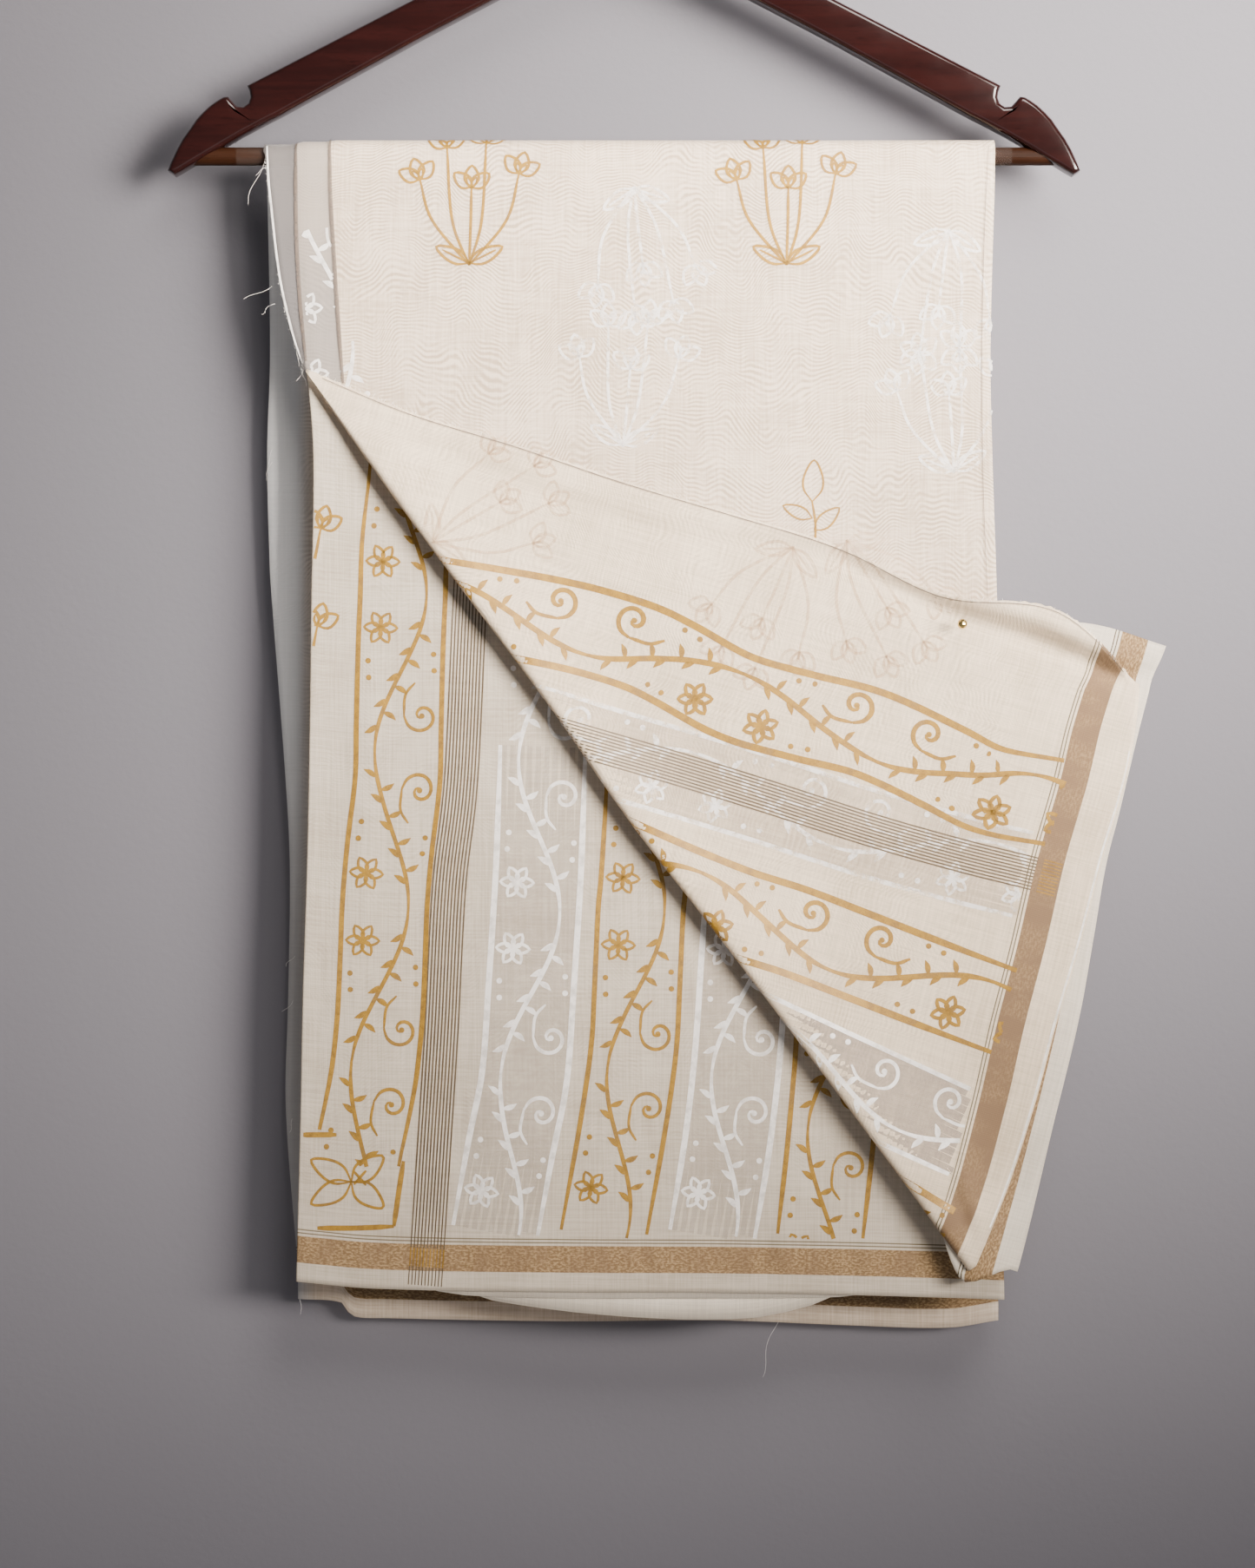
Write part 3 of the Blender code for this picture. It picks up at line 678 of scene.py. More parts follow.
@dataclass(frozen=True)
class PlasticFinish:
    """Clear soft plastic tube."""

    name: str

    def make(self) -> Material:
        """Build the material."""
        material, graph, shader = start_material(self.name,
                                                 {"IOR": 1.42, "Specular IOR Level": 0.25})
        cloud = graph.streaks(graph.place(), (60.0, 400.0, 400.0), 3.0)
        graph.feed(shader, "Base Color", graph.mix(cloud, (0.1, 0.08, 0.07), (0.2, 0.18, 0.17)))
        graph.feed(shader, "Alpha", graph.scaled(cloud, 0.05, 0.01))
        graph.feed(shader, "Roughness", graph.times(cloud, 0.3))
        return material


def as_mesh(name: str, shape: BMesh) -> Mesh:
    """Turn a shape into a mesh, and free the shape.

    Args:
        name: the mesh's name.
        shape: what is turned.

    Returns:
        The mesh.
    """
    mesh = bpy.data.meshes.new(name)
    shape.to_mesh(mesh)
    shape.free()
    return mesh


def dress(node: str, material: Material) -> None:
    """Give one of the model's own nodes a finish."""
    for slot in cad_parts[node].material_slots:
        slot.material = material


def add_object(name: str, data: ID) -> Object:
    """Put an object in the scene."""
    made = bpy.data.objects.new(name, data)
    bpy.context.scene.collection.objects.link(made)
    return made


def make_piece(name: str, mesh: Mesh, material: Material) -> Object:
    """Put a mesh in the scene as a piece that rides with the object.

    Args:
        name: the piece's name.
        mesh: its mesh, in the frame's place.
        material: its finish.

    Returns:
        The piece.
    """
    piece = add_object(name, mesh)
    mesh.materials.append(material)
    mesh.shade_smooth()
    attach(piece, BODY)
    return piece


@dataclass(frozen=True)
class Weft:
    """One sheet of cloth laid out as a grid."""

    name: str
    columns: int
    rows: int
    place: Flat
    layout: Callable[[float, float], Pair]
    thickness: float = 0.3

    def build(self, material: Material) -> Object:
        """Lay the sheet out and give it its thickness.

        Args:
            material: its finish.

        Returns:
            The sheet.
        """
        shape = bmesh.new()
        bmesh.ops.create_grid(shape, x_segments=self.columns, y_segments=self.rows, size=0.5)
        threads = shape.loops.layers.uv.new("cloth")
        shares = {vert: (vert.co.x + 0.5, vert.co.y + 0.5) for vert in shape.verts}
        flat = {vert: Vector(self.layout(*share)) * MM for vert, share in shares.items()}
        for face in shape.faces:
            for loop in face.loops:
                loop[threads].uv = flat[loop.vert]
        for vert, share in shares.items():
            vert.co = self.place(*share)
        sheet = make_piece(self.name, as_mesh(self.name, shape), material)
        wall = sheet.modifiers.new("thickness", "SOLIDIFY")
        wall.thickness = self.thickness * MM
        wall.offset = 0.0
        return sheet


def along_border(x: float, drop: float, side: Line, top: float) -> Pair:
    """Measure a place of the turned corner along its border, and in from its edge.

    Args:
        x: flat place across.
        drop: flat place below the bar.
        side: where the edge is at each drop.
        top: the drop above which the edge runs on straight.

    Returns:
        The two lengths.
    """
    edge = side.at(drop) + max(top - drop, 0.0) * 0.25
    return 0.96 * drop - 0.28 * x, 0.96 * (edge - x)


def fold_x_at(drop: float) -> float:
    """Place across the front of the diagonal fold at one drop."""
    low = 0.0
    high = 1.0
    for _ in range(22):
        middle = (low + high) / 2.0
        if FOLD_DROP.at(middle) < drop:
            low = middle
        else:
            high = middle
    return FOLD_X.at(low)


class TopSheet:
    """The outermost layer: up the back, over the bar and down to the diagonal fold."""

    BACK_LENGTH = 565.0
    BEND_RADIUS = 7.6
    FRONT_START = 589.0
    FRONT_FOOT = 498.0
    RAW_END = 105.0
    BACK_ROWS = 130
    BAR_ROWS = 16
    FRONT_ROWS = 150
    ROWS = BACK_ROWS + BAR_ROWS + FRONT_ROWS
    COLUMNS = 112
    FRONT_CREASES = (
        Crease(-95.0, 2.0, -88.0, 110.0, 0.35, 6.0),
        Crease(30.0, 12.0, 36.0, 160.0, -0.3, 8.0),
        Crease(96.0, 30.0, 104.0, 190.0, 0.3, 9.0),
        Crease(150.0, 6.0, 143.0, 200.0, 0.3, 5.0),
        Crease(-40.0, 60.0, -52.0, 140.0, 0.3, 10.0),
        Crease(60.0, 90.0, 150.0, 120.0, 0.25, 12.0),
    )
    BACK_CREASES = (
        Crease(-80.0, 10.0, -92.0, 320.0, 0.8, 9.0),
        Crease(-10.0, 40.0, -22.0, 470.0, -0.7, 11.0),
        Crease(62.0, 5.0, 50.0, 260.0, 0.7, 8.0),
        Crease(120.0, 120.0, 128.0, 545.0, 0.9, 12.0),
        Crease(-140.0, 240.0, 90.0, 262.0, 0.5, 7.0),
        Crease(-60.0, 470.0, 150.0, 452.0, 0.5, 9.0),
    )

    def left_edge(self, drop: float) -> float:
        """Left edge in front: the raw edge, then under the flap's roll."""
        if drop <= self.RAW_END:
            return RAW_LEFT.at(drop)
        return fold_x_at(drop) + 19.0 * ease((drop - self.RAW_END) / 55.0)

    def layer_step(self, x: float, drop: float) -> float:
        """How far the sheet sinks at the left, where fewer layers lie under it."""
        first = 1.0 - ease((x - PANEL_LEFT.at(drop) + 1.6) / 3.2)
        second = 1.0 - ease((x - SECOND_LEFT.at(drop) + 1.6) / 3.2)
        return 1.1 * first + 0.55 * second

    def front_depth(self, x: float, drop: float) -> float:
        """Depth of the sheet in front."""
        depth = DRAPE.layer(2, x, drop) + crease_height(self.FRONT_CREASES, x, drop)
        return depth - 0.7 * self.layer_step(x, drop)

    def back_depth(self, x: float, drop: float) -> float:
        """Depth of the sheet behind."""
        return DRAPE.layer(1, x, drop, Side.BACK) + crease_height(self.BACK_CREASES, x, drop)

    def split(self, v: float) -> tuple[Side | None, float]:
        """Say which stretch a row belongs to, and how far along that stretch it is."""
        row = v * self.ROWS
        if row <= self.BACK_ROWS:
            return Side.BACK, 1.0 - row / self.BACK_ROWS
        if row < self.BACK_ROWS + self.BAR_ROWS:
            return None, (row - self.BACK_ROWS) / self.BAR_ROWS
        return Side.FRONT, (row - self.BACK_ROWS - self.BAR_ROWS) / self.FRONT_ROWS

    def spot(self, u: float, v: float) -> tuple[Side | None, float, float]:
        """Give the stretch, x and drop (or the angle over the bar) of a share of the sheet."""
        side, share = self.split(v)
        if side is Side.BACK:
            nominal = share * self.BACK_LENGTH
            left = BACK_LEFT.at(nominal)
            x = left + u * (RIGHT_EDGE.at(nominal) - left)
            return side, x, share * BACK_HEM.at(x)
        if side is None:
            left = BACK_LEFT.at(0.0)
            return side, left + u * (RIGHT_EDGE.at(0.0) - left), share * math.pi
        drop = share * self.FRONT_FOOT
        left = self.left_edge(drop)
        return side, left + u * (RIGHT_EDGE.at(drop) - left), drop

    def bend(self, x: float, angle: float, above: float = 0.0) -> Vector:
        """Give a point of the stretch over the bar, where 0 is behind and pi in front."""
        behind = self.back_depth(x, 0.0)
        before = self.front_depth(x, 0.0)
        radius = behind + (before - behind) * ease(angle / math.pi)
        sink = 0.8 * self.layer_step(x, 0.0) * math.sin(angle)
        return DRAPE.over_bar(x, angle, radius - sink + above)

    def point(self, x: float, drop: float, above: float = 0.0) -> Vector:
        """Give the point above a flat place; a drop below 0 goes over the bar and behind."""
        if drop >= 0.0:
            return DRAPE.place(x, drop, self.front_depth(x, drop) + above)
        length = math.pi * self.BEND_RADIUS
        if drop > -length:
            return self.bend(x, math.pi * (1.0 + drop / length), above)
        fall = -drop - length
        return DRAPE.place(x, fall, self.back_depth(x, fall) + above, Side.BACK)

    def place(self, u: float, v: float) -> Vector:
        """Give the point of a share of the sheet."""
        side, x, drop = self.spot(u, v)
        if side is Side.BACK:
            return DRAPE.place(x, drop, self.back_depth(x, drop), side)
        if side is None:
            return self.bend(x, drop)
        return DRAPE.place(x, drop, self.front_depth(x, drop))

    def layout(self, u: float, v: float) -> Pair:
        """Give a share's place on the flat cloth, from the hem behind."""
        side, x, drop = self.spot(u, v)
        if side is Side.BACK:
            return x, BACK_HEM.at(x) - drop
        if side is None:
            return x, self.BACK_LENGTH + self.BEND_RADIUS * drop
        return x, self.FRONT_START + drop

    def build(self, material: Material) -> None:
        """Build the sheet and hide the model's own front and back sheets."""
        sheet = Weft("top_sheet", self.COLUMNS, self.ROWS, self.place, self.layout).build(material)
        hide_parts("front_sheet", "back_sheet")


class PalluPanel:
    """The printed panel under the flap, folded at its left edge."""

    TOP = 17.0
    FOOT = 551.0
    PUCKER_RISE = 16.0
    FOLD_RADIUS = 0.9
    TUCK = 12.0
    TURN_COLUMNS = 8.0
    COLUMNS = 126
    ROWS = 200
    FOLD_COLUMNS = 14
    CREASES = (
        Crease(-150.0, 330.0, -40.0, 300.0, 0.5, 8.0),
        Crease(-120.0, 200.0, -128.0, 400.0, 0.7, 7.0),
        Crease(-96.0, 250.0, -104.0, 540.0, -0.6, 6.0),
        Crease(-60.0, 300.0, -66.0, 545.0, 0.5, 9.0),
        Crease(-20.0, 350.0, -28.0, 548.0, -0.5, 10.0),
        Crease(30.0, 400.0, 24.0, 550.0, 0.5, 8.0),
        Crease(80.0, 460.0, 76.0, 552.0, 0.5, 9.0),
        Crease(-156.0, 365.0, 20.0, 372.0, 0.25, 5.0),
        Crease(-150.0, 470.0, 60.0, 486.0, 0.3, 9.0),
    )

    def depth(self, x: float, drop: float) -> float:
        """Depth of the panel's middle, with its puckered hem."""
        pucker = 0.42 * math.sin(x / 2.7 + 2.2 * math.sin(x / 15.0)) * (0.6 + 0.4 * math.sin(x / 8.3))
        pucker *= math.exp(-(((PANEL_HEM.at(x) - drop - self.PUCKER_RISE) / 8.0) ** 2))
        return DRAPE.layer(1, x, drop) + crease_height(self.CREASES, x, drop) + pucker

    def point(self, x: float, drop: float, above: float = 0.0) -> Vector:
        """Give the point above a place of the panel's face."""
        near = math.exp(-(x - PANEL_LEFT.at(drop)) / 9.0)
        return DRAPE.place(x, drop, self.depth(x, drop) + 0.6 * near * self.FOLD_RADIUS + above)

    def spot(self, u: float, v: float) -> Triple:
        """Give x, drop and how far round the left fold a share is, 0 on the face."""
        column = u * self.COLUMNS
        nominal = self.TOP + v * (self.FOOT - self.TOP)
        left = PANEL_LEFT.at(nominal)
        right = RIGHT_EDGE.at(nominal) - 1.0
        turned = max(self.FOLD_COLUMNS - column, 0.0)
        if turned > 0.0:
            x = left
        else:
            share = (column - self.FOLD_COLUMNS) / (self.COLUMNS - self.FOLD_COLUMNS)
            x = left + self.FOLD_RADIUS + share * (right - left - self.FOLD_RADIUS)
        return x, self.TOP + v * (PANEL_HEM.at(x) - self.TOP), turned

    def place(self, u: float, v: float) -> Vector:
        """Give the point of a share of the panel."""
        x, drop, turned = self.spot(u, v)
        radius = self.FOLD_RADIUS
        if turned == 0.0:
            return self.point(x, drop)
        rounds = self.TURN_COLUMNS
        middle = self.depth(x, drop)
        if turned <= rounds:
            angle = math.pi * turned / rounds
            out = x + radius - radius * math.sin(angle)
            return DRAPE.place(out, drop, middle + 0.6 * radius * math.cos(angle))
        back = (turned - rounds) / (self.FOLD_COLUMNS - rounds)
        behind = middle - 0.6 * radius * (1.0 - 0.4 * back)
        return DRAPE.place(x + radius + self.TUCK * back, drop, behind)

    def layout(self, u: float, v: float) -> Pair:
        """Give a share's place on the flat cloth, measured up from the hem."""
        x, drop, turned = self.spot(u, v)
        return x - turned, PANEL_HEM.at(x) - drop

    def build(self, material: Material) -> None:
        """Build the panel and hide the model's own."""
        sheet = Weft("pallu_sheet", self.COLUMNS, self.ROWS, self.place, self.layout).build(material)
        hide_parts("pallu_panel")


class TurnedFlap:
    """The corner of the top sheet, rolled over the diagonal fold and laid up to the right."""

    ROLL_RADIUS = 3.3
    UNDER = 13.5
    CURL = 9.0
    FOLD_LENGTH = 540.0
    EDGE_TOP = 260.0
    SHEAR = 0.719
    BREADTH = 249.0
    FACE_ROWS = 96
    ROLL_ROWS = 12
    UNDER_ROWS = 4
    ROWS = FACE_ROWS + ROLL_ROWS + UNDER_ROWS
    COLUMNS = 170
    BORDER_SHIFT = Line((250.0, 0.0), (285.0, 6.0), (340.0, 6.3), (400.0, 4.5), (520.0, 0.3))
    CREASE_LINE = Line((-134.0, 128.0), (-49.6, 161.3), (3.8, 179.3), (30.7, 186.1),
                       (47.0, 188.2), (101.6, 195.3), (118.4, 203.7), (160.4, 222.6),
                       (202.4, 237.3), (240.2, 254.1))
    CREASES = (
        Crease(-60.0, 190.0, 120.0, 250.0, 0.4, 9.0),
        Crease(20.0, 300.0, 190.0, 350.0, 0.6, 10.0),
        Crease(60.0, 340.0, 200.0, 372.0, -0.5, 7.0),
        Crease(90.0, 210.0, 196.0, 262.0, 0.5, 10.0),
        Crease(120.0, 460.0, 196.0, 420.0, 0.5, 7.0),
        Crease(148.0, 520.0, 186.0, 470.0, 0.9, 4.0),
        Crease(150.0, 486.0, 171.0, 536.0, -1.3, 3.0),
        Crease(160.0, 484.0, 174.0, 530.0, 1.2, 2.8),
        Crease(140.0, 505.0, 184.0, 492.0, 0.7, 3.6),
        Crease(158.0, 528.0, 176.0, 500.0, 0.7, 2.6),
        Crease(-20.0, 262.0, 150.0, 300.0, 0.4, 12.0),
    )

    def __init__(self) -> None:
        """Work out the fold's direction and its bow."""
        self.inward = Vector((FOLD_RUN.y, -FOLD_RUN.x))
        places = []
        for index in range(0, 41):
            fold = Vector((FOLD_X.at(index / 40.0), FOLD_DROP.at(index / 40.0))) - FOLD_START
            places.append((fold.dot(FOLD_RUN), fold.dot(self.inward)))
        self.bow = Line(*places)

    def radius(self, along: float) -> float:
        """Radius of the roll at a length along the fold."""
        return 0.35 + (self.ROLL_RADIUS - 0.35) * ease(along / 70.0)

    def measure(self, x: float, drop: float) -> Pair:
        """Give the length along the fold and the distance inside it of a flat place."""
        apart = Vector((x, drop)) - FOLD_START
        along = apart.dot(FOLD_RUN)
        return along, apart.dot(self.inward) - self.bow.at(along)

    def lift(self, x: float, drop: float, section: float) -> float:
        """How far the raw edge's strip stands forward of the rest."""
        near = ease((self.CREASE_LINE.at(x) - drop + 4.0) / 13.0)
        return (0.7 + self.CURL * CURL.at(section)) * near - self.valley(x, drop)

    def valley(self, x: float, drop: float) -> float:
        """How far the crease under the raw edge's strip sinks."""
        depth = 0.6 * ease((x + 150.0) / 60.0) + 0.5 * ease((x - 60.0) / 60.0)
        depth += 2.6 * ease((x - 160.0) / 44.0)
        return depth * math.exp(-(((drop - self.CREASE_LINE.at(x)) / 5.5) ** 2))

    def to_edge(self, x: float, drop: float) -> float:
        """Flat distance from a place to where the border is measured from."""
        return along_border(x, drop, FLAP_SIDE, self.EDGE_TOP)[1] - self.BORDER_SHIFT.at(drop)

    def face_depth(self, x: float, drop: float, inside: float, along: float) -> float:
        """Depth of the flap's face."""
        section = min(max((along + self.SHEAR * inside) / self.FOLD_LENGTH, 0.02), 1.0)
        down = 1.0 - min(max(inside / (self.BREADTH * section), 0.0), 1.0)
        full = 2.4 * math.exp(-((inside / 16.0) ** 2)) * ease(along / 70.0)
        belly = 1.6 * math.sin(math.pi * down) * section
        depth = DRAPE.layer(4, x, drop) + full + belly + self.lift(x, drop, section)
        return depth + crease_height(self.CREASES, x, drop)

    def point(self, x: float, drop: float, above: float = 0.0) -> Vector:
        """Give the point for a flat place, past the fold too, where it goes round the roll.

        Args:
            x: flat place across.
            drop: flat place below the bar.
            above: how far off the cloth's middle the point stands.

        Returns:
            The point, in metres.
        """
        along, inside = self.measure(x, drop)
        radius = self.radius(along)
        if inside >= radius:
            return DRAPE.place(x, drop, self.face_depth(x, drop, inside, along) + above)
        fold = Vector((x, drop)) - self.inward * inside
        crown = fold + self.inward * radius
        top = self.face_depth(crown.x, crown.y, radius, along)
        behind = DRAPE.layer(2, fold.x, fold.y)
        half = max((top - behind) / 2.0, 0.1)
        middle = (top + behind) / 2.0
        angle = (radius - inside) / max(radius, half)
        if angle < math.pi:
            reach = radius - (radius + above) * math.sin(angle)
            spot = fold + self.inward * reach
            return DRAPE.place(spot.x, spot.y, middle + (half + above) * math.cos(angle))
        spot = fold + self.inward * (radius + (angle - math.pi) * radius)
        return DRAPE.place(spot.x, spot.y, middle - half - above)

    def section(self, along: float, down: float) -> Pair:
        """Give the flat place of a share along and down the flap."""
        raw_x = RAW_X.at(along)
        raw_drop = RAW_DROP.at(along)
        x = raw_x + down * (FOLD_X.at(along) - raw_x)
        drop = raw_drop + down * (FOLD_DROP.at(along) - raw_drop)
        top, foot = RAW_DROP.values[-1], FOLD_DROP.values[-1]
        last_drop = top + down * (foot - top)
        start, end = RAW_X.values[-1], FOLD_X.values[-1]
        straight = start + down * (end - start)
        return x + (FLAP_SIDE.at(last_drop) - straight) * ease(along) ** 3, drop

    def flat(self, u: float, v: float) -> Pair:
        """Give the flat place of a share of the whole piece, its roll included."""
        along = 0.006 + 0.994 * u
        row = v * self.ROWS
        fold = Vector(self.section(along, 1.0))
        raw = Vector(self.section(along, 0.0))
        length, inside = self.measure(raw.x, raw.y)
        radius = self.radius(self.measure(fold.x, fold.y)[0])
        stop = 1.0 - min(radius / max(inside, 0.001), 0.6)
        if row <= self.FACE_ROWS:
            share = row / self.FACE_ROWS
            fray = 0.5 * math.sin(raw.x * 1.3) * math.sin(raw.x / 3.7) * (1.0 - ease(share * 12.0))
            x, drop = self.section(along, share * stop)
            return x, drop + fray
        last = Vector(self.section(along, stop))
        beyond = row - self.FACE_ROWS
        arc = math.pi * radius * min(beyond / self.ROLL_ROWS, 1.0)
        under = max(beyond - self.ROLL_ROWS, 0.0) / self.UNDER_ROWS
        arc += under * self.UNDER * ease(self.FOLD_LENGTH * along / 70.0)
        spot = last - self.inward * arc
        return spot.x, spot.y

    def place(self, u: float, v: float) -> Vector:
        """Give the point of a share of the flap."""
        return self.point(*self.flat(u, v))

    def layout(self, u: float, v: float) -> Pair:
        """Give a share's place on the flat cloth, measured in from the border's edge."""
        x, drop = self.flat(u, v)
        return along_border(x, drop, FLAP_SIDE, self.EDGE_TOP)[0], self.to_edge(x, drop) - 1.3

    def build(self, material: Material) -> None:
        """Build the flap and hide the model's own."""
        sheet = Weft("turned_corner", self.COLUMNS, self.ROWS, self.place, self.layout).build(material)
        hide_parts("turned_flap")


class UnderFlap:
    """The layer under the flap, which shows along its right-hand edge and at its corner."""

    COLUMNS = 90
    ROWS = 110
    CREASES = (
        Crease(170.0, 520.0, 205.0, 440.0, 0.6, 4.0),
        Crease(168.0, 500.0, 192.0, 520.0, -0.5, 3.0),
        Crease(236.0, 250.0, 230.0, 340.0, 0.4, 4.0),
        Crease(166.0, 552.0, 184.0, 506.0, 1.3, 3.0),
        Crease(174.0, 556.0, 190.0, 516.0, -1.2, 2.6),
    )
    EDGE_TOP = 240.0
    CORNER_RISE = 25.0
    TIP_PULL = Vector((-14.0, 29.6))
    SIDE_PULL = Vector((-1.0, 11.0))

    def __init__(self, flap: TurnedFlap) -> None:
        """Keep the flap that this layer follows."""
        self.flap = flap

    def flat(self, u: float, v: float) -> Pair:
        """Give the flat place of a share of the layer."""
        along = 0.45 + 0.55 * u
        down = 0.02 + 0.94 * v
        x, drop = self.flap.section(along, down)
        near_corner = max(along - 0.875, 0.0) / 0.125
        drop -= self.CORNER_RISE * near_corner * (1.0 - ease(down / 0.25))
        past = UNDER_SIDE.at(drop) - FLAP_SIDE.at(drop)
        near_tip = ease((v - 0.75) / 0.25) * ease((along - 0.88) / 0.09)
        pull = self.TIP_PULL.lerp(self.SIDE_PULL, ease((along - 0.965) / 0.035)) * near_tip
        return x + past * ease((along - 0.8) / 0.2) + pull.x, drop + pull.y

    def place(self, u: float, v: float) -> Vector:
        """Give the point of a share of the layer."""
        x, drop = self.flat(u, v)
        depth = DRAPE.layer(3, x, drop) + crease_height(self.CREASES, x, drop)
        return DRAPE.place(x, drop, depth - self.flap.valley(x, drop))

    def layout(self, u: float, v: float) -> Pair:
        """Give a share's place on the flat cloth, measured in from the border's edge."""
        return along_border(*self.flat(u, v), UNDER_SIDE, self.EDGE_TOP)

    def build(self, material: Material) -> None:
        """Build the layer and hide the model's own."""
        sheet = Weft("under_corner", self.COLUMNS, self.ROWS, self.place, self.layout).build(material)
        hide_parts("flap_under_layer")


class PackFolds:
    """The hidden layers: one sheet folded back and forth, hung over the bar."""

    PASSES = 6
    ACROSS = 26
    TURN = 5
    COLUMNS = (ACROSS + TURN) * PASSES - TURN
    LEG_ROWS = 60
    BAR_ROWS = 10
    ROWS = 2 * LEG_ROWS + BAR_ROWS
    BAR_LEFT = -157.0
    WIDTH = 340.0
    BAR_WIDTH = 333.0
    LENGTH = 550.0
    INNER_RADIUS = 5.7
    SHORT = Line((-160.0, -5.0), (184.0, -5.0))
    MIDDLE = Line((-160.0, -4.0), (-86.0, -3.0), (-68.0, 4.0), (0.0, 12.0), (60.0, 12.5),
                  (96.0, 4.0), (110.0, -3.0), (184.0, -4.0))
    OUTER = Line((-160.0, -4.0), (-100.0, -3.0), (-84.0, 2.0), (20.0, 3.0), (100.0, 1.5),
                 (130.0, -2.0), (184.0, -3.0))
    HEMS = (SHORT, SHORT, SHORT, SHORT, MIDDLE, OUTER)

    def hem(self, x: float, level: float, side: Side) -> float:
        """Drop of the hem of the layer at one level of the pack."""
        if side is Side.BACK:
            return PANEL_HEM.at(x) - 5.0
        order = min(max(level * self.PASSES - 0.5, 0.0), self.PASSES - 1.001)
        lower = self.HEMS[int(order)].at(x)
        upper = self.HEMS[int(order) + 1].at(x)
        return PANEL_HEM.at(x) + lower + (upper - lower) * (order - int(order))

    def inner(self, drop: float, x: float, side: Side) -> float:
        """Depth of the pack's inner face."""
        swing = DRAPE.swing * (1.0 - math.exp(-drop / DRAPE.swing_drop))
        return self.INNER_RADIUS + swing + 0.6 * DRAPE.relief(x, drop, side)

    def section(self, u: float) -> Pair:
        """Give how far across and how far out a share of the folded section is."""
        each = self.ACROSS + self.TURN
        column = u * self.COLUMNS
        turn = int(min(column // each, self.PASSES - 1))
        part = column - turn * each
        level = (turn + 0.5) / self.PASSES
        if part <= self.ACROSS:
            across = part / self.ACROSS
            return (across if turn % 2 == 0 else 1.0 - across), level
        angle = math.pi * (part - self.ACROSS) / self.TURN
        out = 0.004 * math.sin(angle) * (1.0 + 0.5 * math.sin(turn * 2.3))
        across = 1.0 + out if turn % 2 == 0 else -out
        return across, level + (1.0 - math.cos(angle)) / (2.0 * self.PASSES)

    def place(self, u: float, v: float) -> Vector:
        """Give the point of a share of the pack."""
        across, level = self.section(u)
        row = v * self.ROWS
        if self.LEG_ROWS < row < self.LEG_ROWS + self.BAR_ROWS:
            x = self.BAR_LEFT + across * self.BAR_WIDTH
            angle = math.pi * (row - self.LEG_ROWS) / self.BAR_ROWS
            return DRAPE.over_bar(x, angle, self.INNER_RADIUS + 0.9 * level)
        if row <= self.LEG_ROWS:
            side = Side.BACK
            share = 1.0 - row / self.LEG_ROWS
        else:
            side = Side.FRONT
            share = (row - self.LEG_ROWS - self.BAR_ROWS) / self.LEG_ROWS
        wander = 1.2 * math.sin(7.0 * level + 3.0 * share)
        nominal = share * self.LENGTH
        left = PANEL_LEFT.at(nominal) + 4.0 - 2.0 * math.exp(-share * 20.0) + wander
        right = RIGHT_EDGE.at(nominal) - 3.0 - wander
        x = left + across * (right - left)
        drop = share * self.hem(x, level, side)
        low = self.inner(drop, x, side)
        depth = low + level * (DRAPE.layer(0, x, drop, side) - low)
        return DRAPE.place(x, drop, depth, side)

    def layout(self, u: float, v: float) -> Pair:
        """Give a share's place on the flat cloth, measured up from the nearer hem."""
        return u * self.PASSES * self.WIDTH, self.LENGTH * (1.0 - abs(2.0 * v - 1.0))

    def build(self, material: Material) -> None:
        """Build the folded layers and hide the model's own."""
        sheet = Weft("pack_folds", self.COLUMNS, self.ROWS, self.place, self.layout,
                     0.14).build(material)
        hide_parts("folded_layers")


class Stroke(NamedTuple):
    """A drawn line: its width, and its places across and along."""

    width: float
    points: tuple[Pair, ...]


class Leaf(NamedTuple):
    """A filled leaf from its base to its tip."""

    width: float
    base: Pair
    tip: Pair


class Dot(NamedTuple):
    """A filled dot."""

    radius: float
    across: float
    along: float


def smooth_run(points: Sequence[Pair], spacing: float) -> list[Vector]:
    """Give evenly spaced places on a smooth curve through some points.

    Args:
        points: what the curve passes through.
        spacing: the longest step between two places.

    Returns:
        The places, first and last point included.
    """
    knots = [Vector(point) for point in points]
    fine = []
    for index in range(len(knots) - 1):
        start, end = knots[index], knots[index + 1]
        before = knots[index - 1] if index else start * 2.0 - end
        after = knots[index + 2] if index + 2 < len(knots) else end * 2.0 - start
        for step in range(8):
            share = step / 8.0
            fine.append(0.5 * (2.0 * start + (end - before) * share
                               + (2.0 * before - 5.0 * start + 4.0 * end - after) * share**2
                               + (3.0 * start - before - 3.0 * end + after) * share**3))
    fine.append(knots[-1])
    lengths = [0.0]
    for start, end in zip(fine, fine[1:]):
        lengths.append(lengths[-1] + (end - start).length)
    steps = max(2, math.ceil(lengths[-1] / spacing))
    run = []
    index = 0
    for step in range(steps + 1):
        target = lengths[-1] * step / steps
        while index < len(fine) - 2 and lengths[index + 1] < target:
            index += 1
        span = max(lengths[index + 1] - lengths[index], 1e-9)
        run.append(fine[index].lerp(fine[index + 1], (target - lengths[index]) / span))
    return run


